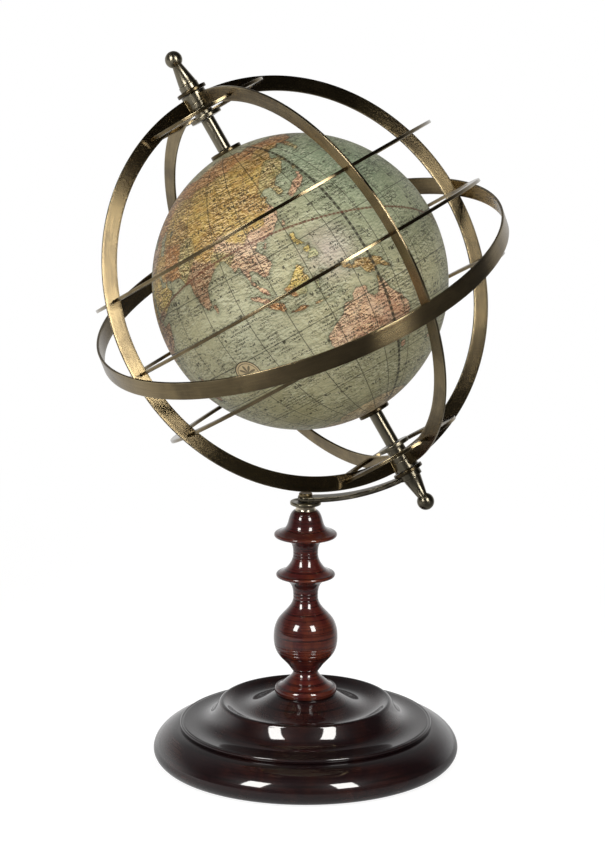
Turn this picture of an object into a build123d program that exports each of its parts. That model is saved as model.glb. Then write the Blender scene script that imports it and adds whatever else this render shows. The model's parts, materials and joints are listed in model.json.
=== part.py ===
from build123d import *
import os
from math import cos, radians, sin, sqrt

# Desktop globe on a turned stand, in millimetres.
# Origin: centre of the base at the level it rests on. +Z up, -Y towards the viewer.
# The globe turns on a rod along the polar axis. A cage of rings turns on the same rod,
# and a bent arm carries the rod and swivels on top of the column.

# ---------------------------------------------------------------- fits
RUN = 0.05        # radial clearance of a bore that turns on its rod
SLIP = 0.1        # clearance between pieces that are put together and stay
THRUST = 0.3      # end gap between a turning piece and its neighbour
SWIVEL_GAP = 0.15  # gap above and below the foot of the arm
CUT = 1.0         # how far a cutting shape runs past the face that it cuts

# ---------------------------------------------------------------- base
FELT_THICKNESS = 2.0
FELT_RECESS = 1.4
BASE_RADIUS = 95.3
BASE_UNDERCUT = 6.8          # widest edge to the edge of the underside
BASE_WIDEST_HEIGHT = 7.6     # above the underside of the wood
BASE_FOOT_HEIGHT = 21.8      # thickness of the lower disc
FELT_MARGIN = 4.5            # edge of the underside to the edge of the felt
BASE_LEDGE = 16.7            # widest edge to the edge of the upper disc
BASE_LEDGE_MARGIN = 1.0      # flat of the lower disc past the upper disc
BASE_STEP_HEIGHT = 3.0
BASE_STEP_ROUNDING = 0.9
COVE_WIDTH = 26.6            # edge of the upper disc to the crest of the rim
COVE_FOOT_REACH = 8.5        # where the cove leaves the ledge, outside the crest
COVE_FOOT_RISE = 2.2
COVE_NECK_REACH = 4.2        # where the cove steepens, outside the crest
COVE_NECK_DROP = 4.0
RIM_RISE = 15.9              # crest of the rim above the lower disc
RIM_LIP = 2.2                # outer shoulder of the rim, outside the crest
RIM_ROUNDING = 1.7
RIM_CREST_DROP = 0.4
DISH_DEPTH = 3.8
DISH_WIDTH = 15.0            # crest of the rim to the bottom of the dish
BOSS_INSET = 0.6             # the boss inside the foot of the column
BOSS_RISE = 20.6             # top of the boss above the lower disc
SCREW_CIRCLE_RADIUS = 34.0
SCREW_COUNT = 3
SCREW_SHANK = 1.9
SCREW_HEAD = 3.8
SCREW_BITE = 8.0

# ---------------------------------------------------------------- column
TENON_RADIUS = 8.8
TENON_LENGTH = 13.0
FOOT_RADIUS = 19.4
FOOT_BEAD = 4.6
FOOT_BEAD_ROUNDING = 0.9
FOOT_SWEEP = 9.9
NECK_RADIUS = 7.7
BULB_RADIUS = 19.9
BULB_HALF_HEIGHT = 21.7
BULB_RISE = 22.1             # lower neck to the middle of the bulb
BULB_FALL = 25.4             # middle of the bulb to the neck above it
LOWER_DISC_RADIUS = 18.3
LOWER_DISC_RISE = 14.5
MIDDLE_NECK_RISE = 13.4
UPPER_DISC_RADIUS = 19.5
UPPER_DISC_RISE = 12.2
DISC_EDGE = 1.2
DOME_HEIGHT = 15.7
DOME_RADIUS = 10.5
DOME_TOP_RADIUS = 6.2

# ---------------------------------------------------------------- tie rod and swivel
TIE_ROD_RADIUS = 2.5
TIE_BORE_GAP = 0.3
TIE_WASHER_RADIUS = 9.0
TIE_WASHER_THICKNESS = 1.5
TIE_NUT_FLATS = 9.0
TIE_NUT_THICKNESS = 4.0
TIE_POCKET_DEPTH = 8.0
TIE_POCKET_GAP = 1.0         # washer to the wall of its pocket
TIE_ROD_TAIL = 1.0           # rod past its nut
FERRULE_RADIUS = 6.5
FERRULE_HEIGHT = 3.4
FERRULE_FLARE = 0.5
CAP_DISC_RADIUS = 9.6
CAP_DISC_THICKNESS = 2.1
ARM_NUT_RADIUS = 4.2
ARM_NUT_HEIGHT = 2.0
ARM_NUT_SLOT = 0.9

# ---------------------------------------------------------------- arm and polar axis
TILT = 30.9                  # polar axis from the vertical
ARM_TURN = -15.0             # where the arm points, about the column
CAGE_TURN = 47.1             # where the first meridian ring stands, about the polar axis
SETBACK = 3.4                # centre of the globe behind the column axis, along the arm
ARM_CLEARANCE = 3.75         # ecliptic band to the inner face of the arm
ARM_THICKNESS = 3.0
ARM_WIDTH = 9.6
ARM_FOOT_REACH = 5.0         # flat foot, to each side of the column axis
ARM_EYE_RADIUS = 7.0
ARM_EYE_LIP = 0.4            # the eye stands proud of the curved strap on both faces
ROD_RADIUS = 2.0
SPACER_RADIUS = 4.25
FLANGE_RADIUS = 9.5
FLANGE_THICKNESS = 2.3
UPPER_WASHER_RADIUS = 6.1
FINIAL_BASE_RADIUS = 5.7
FINIAL_NECK_RADIUS = 3.15
FINIAL_LENGTH = 17.0         # seat of the finial to the centre of its ball
FINIAL_BALL_RADIUS = 5.3
FINIAL_THREAD = 10.0

# ---------------------------------------------------------------- cage
CAGE_CLEARANCE = 39.6        # globe to the outer edge of the meridian rings
MERIDIAN_THICKNESS = 1.5
MERIDIAN_WIDTH = 9.6         # across the flat of the ring, inner edge to outer edge
FLAT_RING_THICKNESS = 2.0
FLAT_RING_WIDTH = 8.0
RING_INSET = 4.65            # edge of a flat ring inside the outer edge of the meridian rings
TROPIC_ANGLE = 21.24         # from the equator
POLAR_RING_ANGLE = 70.72
ECLIPTIC_THICKNESS = 1.5
ECLIPTIC_SEAT = 0.85         # how deep the band sits in the edges of the meridian rings
ECLIPTIC_WIDTH = 11.2
ECLIPTIC_TILT = 21.7
ECLIPTIC_TURN = -4.0         # its node, from the first meridian ring
ECLIPTIC_SHIFT = -1.6        # along its own axis
HUB_RADIUS = 7.8
HUB_CORE = 3.9               # where the meridian rings end, about the polar rod
HUB_SHOULDER = 3.1
HUB_NECK_RADIUS = 5.8
HUB_NECK_LENGTH = 5.5
HUB_FLANGE_RADIUS = 10.0
HUB_FLANGE_THICKNESS = 2.6

# ---------------------------------------------------------------- globe
GLOBE_RADIUS = 90.0
SHELL_THICKNESS = 2.0
POLE_CAP_RADIUS = 10.0
POLE_CAP_THICKNESS = 2.4
POLE_CAP_MARGIN = 0.5        # flat of the globe past the pole cap
POLE_BUSH_RADIUS = 3.4
POLE_BUSH_FLANGE_RADIUS = 7.0
POLE_BUSH_LENGTH = 5.5
SEAM_RING_WIDTH = 12.0
SEAM_RING_THICKNESS = 1.5

# ---------------------------------------------------------------- derived radii, heights and centres
base_underside_radius = BASE_RADIUS - BASE_UNDERCUT
felt_radius = base_underside_radius - FELT_MARGIN
base_step_radius = BASE_RADIUS - BASE_LEDGE
rim_radius = base_step_radius - COVE_WIDTH
valley_radius = rim_radius - DISH_WIDTH
boss_radius = FOOT_RADIUS - BOSS_INSET

cage_radius = GLOBE_RADIUS + CAGE_CLEARANCE
ecliptic_radius = cage_radius - ECLIPTIC_SEAT + ECLIPTIC_THICKNESS
arm_radius = ecliptic_radius + ARM_CLEARANCE
ring_reach = cage_radius - RING_INSET

wood_bottom = FELT_THICKNESS - FELT_RECESS
foot_top = wood_bottom + BASE_FOOT_HEIGHT
boss_top = foot_top + BOSS_RISE
rim_top = foot_top + RIM_RISE
bead_top = boss_top + FOOT_BEAD
lower_neck = bead_top + FOOT_SWEEP
bulb_middle = lower_neck + BULB_RISE
middle_neck = bulb_middle + BULB_FALL
lower_disc = middle_neck + LOWER_DISC_RISE
upper_neck = lower_disc + MIDDLE_NECK_RISE
upper_disc = upper_neck + UPPER_DISC_RISE
dome_top = upper_disc + DOME_HEIGHT
cap_bottom = dome_top + FERRULE_HEIGHT
cap_top = cap_bottom + CAP_DISC_THICKNESS
arm_foot_bottom = cap_top + SWIVEL_GAP
arm_foot_top = arm_foot_bottom + ARM_THICKNESS
globe_height = arm_foot_top + arm_radius

tilt = radians(TILT)
turn = radians(ARM_TURN)
globe_centre = Vector(-SETBACK * cos(turn), -SETBACK * sin(turn), globe_height)
polar_frame = Plane(
    origin=globe_centre,
    x_dir=(cos(tilt) * cos(turn), cos(tilt) * sin(turn), sin(tilt)),
    z_dir=(-sin(tilt) * cos(turn), -sin(tilt) * sin(turn), cos(tilt)),
)

shell_inner = GLOBE_RADIUS - SHELL_THICKNESS
pole_flat = sqrt(GLOBE_RADIUS ** 2 - (POLE_CAP_RADIUS + POLE_CAP_MARGIN) ** 2)
pole_cap_top = pole_flat + POLE_CAP_THICKNESS
meridian_inner = cage_radius - MERIDIAN_WIDTH
hub_top = cage_radius - MERIDIAN_WIDTH / 2
hub_bottom = hub_top - HUB_SHOULDER - HUB_NECK_LENGTH - HUB_FLANGE_THICKNESS
eye_inner = arm_radius - ARM_EYE_LIP
eye_outer = arm_radius + ARM_THICKNESS + ARM_EYE_LIP / 2
flange_inner = eye_inner - FLANGE_THICKNESS
collar_outer = flange_inner - THRUST
rod_end = eye_outer + FINIAL_THREAD


# ---------------------------------------------------------------- helpers
def half(r, z):
    """A point of a half profile: radius and height."""
    return Vector(r, 0, z)


def lines(*points):
    return Polyline(*[half(r, z) for r, z in points])


def between(start, end, share):
    return start + share * (end - start)


def bow(start, middle, end):
    return ThreePointArc(half(*start), half(*middle), half(*end))


def sweep_curve(points, start, end):
    """A smooth curve through the points, with its directions at both ends."""
    return Spline(*[half(r, z) for r, z in points], tangents=(half(*start), half(*end)))


def turned(*edges):
    """Turn a closed half profile about Z."""
    return revolve(make_face(list(edges)), Axis.Z)


def rod(radius, bottom, top):
    return Pos(0, 0, (bottom + top) / 2) * Cylinder(radius, top - bottom)


def tube(outer, inner, bottom, top):
    return rod(outer, bottom, top) - rod(inner, bottom - CUT, top + CUT)


def hoop(outer, thickness, width, axis, shift=0.0):
    """A band round the origin whose flat faces look along axis."""
    ring = tube(outer, outer - thickness, shift - width / 2, shift + width / 2)
    return Plane(origin=(0, 0, 0), z_dir=axis) * ring


def mirrored(shape):
    """The same piece at the south pole."""
    return mirror(shape, Plane.XY)


def to_polar(shape):
    return polar_frame * shape


# ---------------------------------------------------------------- base
def felt_pad():
    return rod(felt_radius, 0, FELT_THICKNESS)


def screw_places():
    return PolarLocations(SCREW_CIRCLE_RADIUS, SCREW_COUNT)


def base_foot():
    widest = wood_bottom + BASE_WIDEST_HEIGHT
    flat_radius = base_step_radius + BASE_LEDGE_MARGIN
    profile = turned(
        lines((0, wood_bottom), (base_underside_radius, wood_bottom)),
        sweep_curve([(base_underside_radius, wood_bottom), (BASE_RADIUS, widest)], (1, 0.12), (0, 1)),
        sweep_curve([(BASE_RADIUS, widest), (flat_radius, foot_top)], (0, 1), (-1, 0.12)),
        lines((flat_radius, foot_top), (0, foot_top), (0, wood_bottom)),
    )
    recess = rod(felt_radius + SLIP, wood_bottom - CUT, FELT_THICKNESS)
    pocket = rod(TIE_WASHER_RADIUS + TIE_POCKET_GAP, 0, wood_bottom + TIE_POCKET_DEPTH)
    body = profile - recess - pocket - rod(TIE_ROD_RADIUS + TIE_BORE_GAP, 0, foot_top + CUT)
    return body - [place * base_screw_hole() for place in screw_places()]


def base_screw_hole():
    head_bottom = FELT_THICKNESS
    shank = rod(SCREW_SHANK + SLIP, head_bottom, foot_top + SCREW_BITE + SLIP)
    head = Pos(0, 0, head_bottom + SCREW_HEAD / 2) * Cone(SCREW_HEAD + SLIP, SLIP, SCREW_HEAD)
    return shank + head


def base_screw():
    head_bottom = FELT_THICKNESS + SLIP
    shank = rod(SCREW_SHANK, head_bottom, foot_top + SCREW_BITE)
    head = Pos(0, 0, head_bottom + SCREW_HEAD / 2) * Cone(SCREW_HEAD, 0, SCREW_HEAD)
    return shank + head


def base_screws():
    return Compound([place * base_screw() for place in screw_places()])


def base_dish():
    step_top = foot_top + BASE_STEP_HEIGHT
    cove_edge = base_step_radius - BASE_STEP_ROUNDING
    shoulder = rim_top - RIM_ROUNDING
    valley = rim_top - DISH_DEPTH
    body = turned(
        lines((0, foot_top), (base_step_radius, foot_top),
              (base_step_radius, step_top - BASE_STEP_ROUNDING)),
        bow((base_step_radius, step_top - BASE_STEP_ROUNDING),
            (base_step_radius - 0.3 * BASE_STEP_ROUNDING, step_top - 0.3 * BASE_STEP_ROUNDING),
            (cove_edge, step_top)),
        sweep_curve([(cove_edge, step_top),
                     (rim_radius + COVE_FOOT_REACH, step_top + COVE_FOOT_RISE),
                     (rim_radius + COVE_NECK_REACH, shoulder - COVE_NECK_DROP),
                     (rim_radius + RIM_LIP, shoulder)], (-1, -0.12), (-0.45, 1)),
        bow((rim_radius + RIM_LIP, shoulder), (rim_radius + 0.55 * RIM_LIP, rim_top - RIM_CREST_DROP),
            (rim_radius - RIM_CREST_DROP, rim_top)),
        sweep_curve([(rim_radius - RIM_CREST_DROP, rim_top),
                     (rim_radius - DISH_WIDTH / 3, rim_top - 0.62 * DISH_DEPTH),
                     (valley_radius, valley),
                     (boss_radius, boss_top)], (-1, -0.3), (-1, 0.55)),
        lines((boss_radius, boss_top), (0, boss_top), (0, foot_top)),
    )
    body -= rod(TENON_RADIUS + SLIP, boss_top - TENON_LENGTH - SLIP, boss_top + CUT)
    body -= rod(TIE_ROD_RADIUS + TIE_BORE_GAP, foot_top - CUT, boss_top)
    return body - [place * base_screw_hole() for place in screw_places()]


# ---------------------------------------------------------------- column
def disc_edge(radius, height):
    """The rounded edge of a turned disc."""
    inner = radius - DISC_EDGE
    return bow((inner, height - DISC_EDGE), (radius, height), (inner, height + DISC_EDGE))


def column():
    tenon_bottom = boss_top - TENON_LENGTH
    bead_inner = FOOT_RADIUS - FOOT_BEAD_ROUNDING
    sweep_start = FOOT_RADIUS - 2 * FOOT_BEAD_ROUNDING
    bulb = [(BULB_RADIUS * cos(radians(a)), bulb_middle + BULB_HALF_HEIGHT * sin(radians(a)))
            for a in (-58, -29, 0, 30, 56)]
    low_in = LOWER_DISC_RADIUS - DISC_EDGE
    up_in = UPPER_DISC_RADIUS - DISC_EDGE
    body = turned(
        lines((0, tenon_bottom), (TENON_RADIUS, tenon_bottom), (TENON_RADIUS, boss_top),
              (bead_inner, boss_top)),
        bow((bead_inner, boss_top), (FOOT_RADIUS, boss_top + FOOT_BEAD / 2), (bead_inner, bead_top)),
        lines((bead_inner, bead_top), (sweep_start, bead_top)),
        sweep_curve([(sweep_start, bead_top),
                     (between(NECK_RADIUS, sweep_start, 0.45), bead_top + 0.4 * FOOT_SWEEP),
                     (NECK_RADIUS, lower_neck)], (-1, 0.3), (0, 1)),
        sweep_curve([(NECK_RADIUS, lower_neck)] + bulb + [(NECK_RADIUS, middle_neck)],
                    (1, 0.9), (0, 1)),
        sweep_curve([(NECK_RADIUS, middle_neck),
                     (between(NECK_RADIUS, low_in, 0.14), middle_neck + 0.55 * LOWER_DISC_RISE),
                     (low_in, lower_disc - DISC_EDGE)], (0, 1), (1, 0.2)),
        disc_edge(LOWER_DISC_RADIUS, lower_disc),
        sweep_curve([(low_in, lower_disc + DISC_EDGE),
                     (between(NECK_RADIUS, low_in, 0.255), lower_disc + 0.48 * MIDDLE_NECK_RISE),
                     (NECK_RADIUS, upper_neck)], (-1, 0.2), (0, 1)),
        sweep_curve([(NECK_RADIUS, upper_neck),
                     (between(NECK_RADIUS, up_in, 0.14), upper_neck + 0.58 * UPPER_DISC_RISE),
                     (up_in, upper_disc - DISC_EDGE)], (0, 1), (1, 0.2)),
        disc_edge(UPPER_DISC_RADIUS, upper_disc),
        sweep_curve([(up_in, upper_disc + DISC_EDGE),
                     (between(DOME_RADIUS, up_in, 0.27), upper_disc + 0.27 * DOME_HEIGHT),
                     (DOME_RADIUS, upper_disc + 0.6 * DOME_HEIGHT),
                     (DOME_TOP_RADIUS, dome_top)], (-1, 0.25), (-1, 0.15)),
        lines((DOME_TOP_RADIUS, dome_top), (0, dome_top), (0, tenon_bottom)),
    )
    return body - rod(TIE_ROD_RADIUS + TIE_BORE_GAP, tenon_bottom - CUT, dome_top + CUT)


# ---------------------------------------------------------------- tie rod and swivel
washer_bottom = wood_bottom + TIE_POCKET_DEPTH - TIE_WASHER_THICKNESS
tie_nut_bottom = washer_bottom - TIE_NUT_THICKNESS


def tie_rod():
    return rod(TIE_ROD_RADIUS, tie_nut_bottom - TIE_ROD_TAIL, arm_foot_top + SWIVEL_GAP + ARM_NUT_HEIGHT / 2)


def tie_washer():
    return tube(TIE_WASHER_RADIUS, TIE_ROD_RADIUS + SLIP, washer_bottom, washer_bottom + TIE_WASHER_THICKNESS)


def tie_nut():
    corner = TIE_NUT_FLATS / sqrt(3)
    hexagon = extrude(RegularPolygon(corner, 6), TIE_NUT_THICKNESS)
    bore = rod(TIE_ROD_RADIUS, -CUT, TIE_NUT_THICKNESS + CUT)
    return Pos(0, 0, tie_nut_bottom) * (hexagon - bore)


def ferrule():
    body = turned(
        lines((0, dome_top), (FERRULE_RADIUS, dome_top)),
        bow((FERRULE_RADIUS, dome_top), (FERRULE_RADIUS - FERRULE_FLARE, dome_top + FERRULE_HEIGHT / 2),
            (FERRULE_RADIUS + FERRULE_FLARE, cap_bottom)),
        lines((FERRULE_RADIUS + FERRULE_FLARE, cap_bottom), (0, cap_bottom), (0, dome_top)),
    )
    return body - rod(TIE_ROD_RADIUS + SLIP, dome_top - CUT, cap_bottom + CUT)


def cap_disc():
    rounding = CAP_DISC_THICKNESS * 0.35
    disc = fillet(Cylinder(CAP_DISC_RADIUS, CAP_DISC_THICKNESS).edges(), rounding)
    disc = Pos(0, 0, cap_bottom + CAP_DISC_THICKNESS / 2) * disc
    return disc - rod(TIE_ROD_RADIUS + SLIP, cap_bottom - CUT, cap_top + CUT)


def arm_nut():
    bottom = arm_foot_top + SWIVEL_GAP
    head = Cylinder(ARM_NUT_RADIUS, ARM_NUT_HEIGHT)
    head = fillet(head.edges().sort_by(Axis.Z)[-1], ARM_NUT_HEIGHT * 0.45)
    slot = Pos(0, 0, ARM_NUT_HEIGHT / 2) * Box(2.2 * ARM_NUT_RADIUS, ARM_NUT_SLOT, 0.35 * ARM_NUT_HEIGHT)
    bore = Pos(0, 0, -ARM_NUT_HEIGHT / 2) * Cylinder(TIE_ROD_RADIUS, ARM_NUT_HEIGHT)
    return Pos(0, 0, bottom + ARM_NUT_HEIGHT / 2) * (head - slot - bore)


# ---------------------------------------------------------------- arm
def arm():
    """A strap bent round the globe's centre, drawn with the arm along +X and then turned."""
    outer = arm_radius + ARM_THICKNESS
    strap = extrude(Circle(outer) - Circle(arm_radius), ARM_WIDTH / 2, both=True)
    strap = Plane.XZ * strap
    reach = SETBACK + ARM_FOOT_REACH
    keep = extrude(make_face(Polyline(
        (0, 0, 0), (2 * reach, 0, -2 * outer), (2 * outer * sin(tilt), 0, -2 * outer * cos(tilt)),
        (0, 0, 0))), outer, both=True, dir=(0, 1, 0))
    strap &= keep
    foot_middle = -arm_radius - ARM_THICKNESS / 2
    foot_length = ARM_FOOT_REACH + CUT
    foot = Pos(SETBACK, 0, foot_middle) * (
        Pos(foot_length / 2, 0, 0) * Box(foot_length, ARM_WIDTH, ARM_THICKNESS)
        + Cylinder(ARM_WIDTH / 2, ARM_THICKNESS))
    foot_bore = Pos(SETBACK, 0, foot_middle) * Cylinder(TIE_ROD_RADIUS + RUN, 2 * ARM_THICKNESS)
    eye = Rot(0, 180 - TILT, 0) * rod(ARM_EYE_RADIUS, eye_inner, eye_outer)
    eye_face = Rot(0, 180 - TILT, 0) * rod(FLANGE_RADIUS + CUT, eye_inner - ARM_THICKNESS, eye_inner)
    seat = Rot(0, 180 - TILT, 0) * rod(ARM_EYE_RADIUS, eye_outer, eye_outer + ARM_THICKNESS)
    eye_bore = Rot(0, 180 - TILT, 0) * rod(ROD_RADIUS + RUN, eye_inner - CUT, eye_outer + CUT)
    shape = (strap + foot + eye) - foot_bore - eye_face - seat - eye_bore
    return Pos(globe_centre) * Rot(0, 0, ARM_TURN) * shape


def polar_rod():
    return rod(ROD_RADIUS, -rod_end, rod_end)


def spacer_tube():
    return tube(SPACER_RADIUS, ROD_RADIUS + RUN, pole_cap_top + THRUST, hub_bottom - THRUST)


def flange():
    disc = tube(FLANGE_RADIUS, ROD_RADIUS + RUN, flange_inner, eye_inner)
    return fillet(disc.edges().filter_by(GeomType.CIRCLE).sort_by(SortBy.RADIUS)[-2:], 0.25 * FLANGE_THICKNESS)


def upper_washer():
    return tube(UPPER_WASHER_RADIUS, ROD_RADIUS + RUN, eye_inner, eye_outer)


def finial():
    ball = eye_outer + FINIAL_LENGTH
    neck = ball - sqrt(FINIAL_BALL_RADIUS ** 2 - FINIAL_NECK_RADIUS ** 2)
    cone = turned(lines((0, eye_outer), (FINIAL_BASE_RADIUS, eye_outer), (FINIAL_NECK_RADIUS, neck),
                        (FINIAL_NECK_RADIUS, ball), (0, ball), (0, eye_outer)))
    body = cone + Pos(0, 0, ball) * Sphere(FINIAL_BALL_RADIUS)
    return body - rod(ROD_RADIUS, eye_outer - CUT, rod_end)


# ---------------------------------------------------------------- cage
cage = radians(CAGE_TURN)
node = radians(CAGE_TURN + ECLIPTIC_TURN)
slope = radians(ECLIPTIC_TILT)
along_a = Vector(cos(cage), sin(cage), 0)
along_b = Vector(-sin(cage), cos(cage), 0)
ecliptic_axis = Vector(sin(node) * sin(slope), -cos(node) * sin(slope), cos(slope))
flat_latitudes = (0, TROPIC_ANGLE, -TROPIC_ANGLE, POLAR_RING_ANGLE, -POLAR_RING_ANGLE)


def flat_ring(latitude, slip=0.0):
    """A flat ring at a latitude of the cage."""
    radius = ring_reach * cos(radians(latitude))
    height = ring_reach * sin(radians(latitude))
    thick = FLAT_RING_THICKNESS / 2 + slip
    return tube(radius, radius - FLAT_RING_WIDTH - slip, height - thick, height + thick)


def ecliptic_band():
    return hoop(ecliptic_radius, ECLIPTIC_THICKNESS, ECLIPTIC_WIDTH, ecliptic_axis, ECLIPTIC_SHIFT)


def whole_meridian(axis):
    """A flat ring through both poles, slotted for the polar rod and its hubs."""
    ring = hoop(cage_radius, MERIDIAN_WIDTH, MERIDIAN_THICKNESS, axis)
    return ring - rod(HUB_CORE, -cage_radius - CUT, cage_radius + CUT)


def meridian_ring(axis):
    """Two half rings, with slots in their inner edges for the flat rings and seats for the ecliptic band."""
    slots = [flat_ring(latitude, SLIP) for latitude in flat_latitudes]
    return whole_meridian(axis) - slots - ecliptic_band()


def inner_hub():
    neck_top = hub_top - HUB_SHOULDER
    flange_top = hub_bottom + HUB_FLANGE_THICKNESS
    body = turned(lines(
        (0, hub_bottom), (HUB_FLANGE_RADIUS, hub_bottom), (HUB_FLANGE_RADIUS, flange_top),
        (HUB_NECK_RADIUS, flange_top), (HUB_NECK_RADIUS, neck_top), (HUB_RADIUS, neck_top),
        (HUB_RADIUS, hub_top), (0, hub_top), (0, hub_bottom)))
    return body - rod(ROD_RADIUS + RUN, hub_bottom - CUT, hub_top + CUT) - whole_meridian(along_a) - whole_meridian(along_b)


def outer_collar():
    body = tube(HUB_RADIUS, ROD_RADIUS + RUN, hub_top, collar_outer)
    return body - whole_meridian(along_a) - whole_meridian(along_b)


# ---------------------------------------------------------------- globe
def north_shell():
    shell = Sphere(GLOBE_RADIUS) - Sphere(shell_inner)
    shell &= rod(GLOBE_RADIUS + CUT, 0, pole_flat)
    return shell - rod(POLE_BUSH_RADIUS + SLIP, 0, GLOBE_RADIUS)


def seam_ring():
    outer = sqrt((shell_inner - SLIP) ** 2 - (SEAM_RING_WIDTH / 2) ** 2)
    return tube(outer, outer - SEAM_RING_THICKNESS, -SEAM_RING_WIDTH / 2, SEAM_RING_WIDTH / 2)


def pole_cap():
    return tube(POLE_CAP_RADIUS, ROD_RADIUS + RUN, pole_flat, pole_cap_top)


def pole_bush():
    flange_top = sqrt(shell_inner ** 2 - POLE_BUSH_FLANGE_RADIUS ** 2) - SLIP
    bottom = pole_flat - POLE_BUSH_LENGTH
    body = rod(POLE_BUSH_RADIUS, bottom, pole_flat) + rod(POLE_BUSH_FLANGE_RADIUS, bottom, flange_top)
    return body - rod(ROD_RADIUS + RUN, bottom - CUT, pole_flat + CUT)


# ---------------------------------------------------------------- the assembly
stand_pieces = {
    "felt_pad": felt_pad(),
    "base_foot": base_foot(),
    "base_dish": base_dish(),
    "base_screws": base_screws(),
    "column": column(),
    "tie_rod": tie_rod(),
    "tie_rod_washer": tie_washer(),
    "tie_rod_nut": tie_nut(),
    "ferrule": ferrule(),
    "cap_disc": cap_disc(),
    "arm_nut": arm_nut(),
}

polar_pieces = {
    "polar_rod": polar_rod(),
    "upper_washer": upper_washer(),
    "meridian_ring_a": meridian_ring(along_b),
    "meridian_ring_b": meridian_ring(along_a),
    "ecliptic_band": ecliptic_band(),
    "equator_ring": flat_ring(0),
    "tropic_of_cancer_ring": flat_ring(TROPIC_ANGLE),
    "tropic_of_capricorn_ring": flat_ring(-TROPIC_ANGLE),
    "arctic_ring": flat_ring(POLAR_RING_ANGLE),
    "antarctic_ring": flat_ring(-POLAR_RING_ANGLE),
    "globe_seam_ring": seam_ring(),
}

# Pieces that are the same at both poles.
pole_pieces = {
    "spacer_tube": spacer_tube(),
    "flange": flange(),
    "finial": finial(),
    "inner_hub": inner_hub(),
    "outer_collar": outer_collar(),
    "globe_shell": north_shell(),
    "pole_cap": pole_cap(),
    "pole_bush": pole_bush(),
}
for name, piece in pole_pieces.items():
    polar_pieces["upper_" + name] = piece
    polar_pieces["lower_" + name] = mirrored(piece)

pieces = dict(stand_pieces, arm=arm())
for name, piece in polar_pieces.items():
    pieces[name] = to_polar(piece)

os.makedirs("parts", exist_ok=True)
for name, piece in pieces.items():
    export_step(piece, f"parts/{name}.step")
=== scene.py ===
"""Looks of a desk globe that spins inside a cage of armillary rings on a turned wooden stand."""

import json
import math

import bmesh
import bpy
import numpy as np
from bpy.props import FloatProperty, FloatVectorProperty, IntProperty, PointerProperty
from mathutils import Matrix, Vector


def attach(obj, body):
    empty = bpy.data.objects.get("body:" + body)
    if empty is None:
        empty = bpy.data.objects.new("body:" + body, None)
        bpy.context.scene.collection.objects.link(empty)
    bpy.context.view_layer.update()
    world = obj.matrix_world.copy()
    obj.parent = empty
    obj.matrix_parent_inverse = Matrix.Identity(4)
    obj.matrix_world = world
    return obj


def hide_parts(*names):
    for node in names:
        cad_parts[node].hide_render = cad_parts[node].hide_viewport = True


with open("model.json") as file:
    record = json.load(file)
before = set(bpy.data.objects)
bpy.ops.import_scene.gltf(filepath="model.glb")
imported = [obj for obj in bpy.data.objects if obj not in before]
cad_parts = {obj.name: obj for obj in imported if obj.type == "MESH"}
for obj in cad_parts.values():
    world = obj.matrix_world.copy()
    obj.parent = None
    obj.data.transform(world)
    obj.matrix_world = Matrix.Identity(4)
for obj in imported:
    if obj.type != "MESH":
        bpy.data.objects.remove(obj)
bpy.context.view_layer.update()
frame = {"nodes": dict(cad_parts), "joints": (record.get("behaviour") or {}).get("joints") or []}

bl_info = {
    "name": "Armillary Desk Globe",
    "version": (1, 0, 0),
    "blender": (4, 5, 0),
    "location": "View3D > Sidebar > Desk Globe",
    "description": "Builds the finished surfaces of a desk globe in an armillary cage",
    "category": "Object",
}

MM = 0.001
PER_MM = 1000.0                 # millimetres in a metre
PER_RADIAN = 180 / math.pi      # degrees in a radian
POLE = 1e-6                     # a point of an outline nearer to its axis than this is on it
SAME_PLACE = 2e-6               # points of an outline nearer than this are one

# ---------------------------------------------------------------- where things are
cage_joint = next(j for j in frame["joints"] if j["name"] == "cage_turn")
GLOBE_CENTRE = Vector(cage_joint["pos_m"])
NORTH = Vector(cage_joint["axis"]).normalized()
UP = Vector((0, 0, 1))


def polar_axes():
    """The globe's own axes: X level with the arm, Z to the north pole."""
    lean = Vector((-NORTH.x, -NORTH.y, 0)).normalized()
    level = Vector((lean.x * NORTH.z, lean.y * NORTH.z, math.hypot(NORTH.x, NORTH.y)))
    turn = Matrix((level, NORTH.cross(level), NORTH)).transposed()
    return Matrix.Translation(GLOBE_CENTRE) @ turn.to_4x4()


POLAR = polar_axes()
UPRIGHT = Matrix.Identity(4)


def node_points(node, axes):
    """Vertices of a CAD node in the given axes."""
    mesh = frame["nodes"][node].data
    co = np.empty(len(mesh.vertices) * 3)
    mesh.vertices.foreach_get("co", co)
    inverse = np.array(axes.inverted())
    return co.reshape(-1, 3) @ inverse[:3, :3].T + inverse[:3, 3]


def span(node, axes=POLAR):
    """Least and greatest radius and height of a CAD node about the Z of the axes."""
    co = node_points(node, axes)
    radius = np.hypot(co[:, 0], co[:, 1])
    return radius.min(), radius.max(), co[:, 2].min(), co[:, 2].max()


def upright_span(node):
    """The span of a CAD node about the column, in millimetres."""
    return [v / MM for v in span(node, UPRIGHT)]


def near_far(low, high):
    """Heights nearer to and farther from the globe's centre, and which way the far one lies."""
    near, far = (low, high) if low > 0 else (high, low)
    return near, far, 1 if far > near else -1


# ---------------------------------------------------------------- sizes and colours
def size(name, description, default):
    return FloatProperty(name=name, description=description, default=default, min=0, unit="LENGTH", precision=5)


def angle(name, description, default):
    return FloatProperty(name=name, description=description, default=math.radians(default), subtype="ANGLE")


def amount(name, description, default, high=1.0):
    return FloatProperty(name=name, description=description, default=default, min=0, max=high)


def power(name, description, default):
    return FloatProperty(name=name, description=description, default=default, min=0, unit="POWER")


def steps(name, description, default, low, high):
    return IntProperty(name=name, description=description, default=default, min=low, max=high)


def tone(name, description, default):
    return FloatVectorProperty(name=name, description=description, default=default, min=0, max=1, subtype="COLOR")


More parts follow.
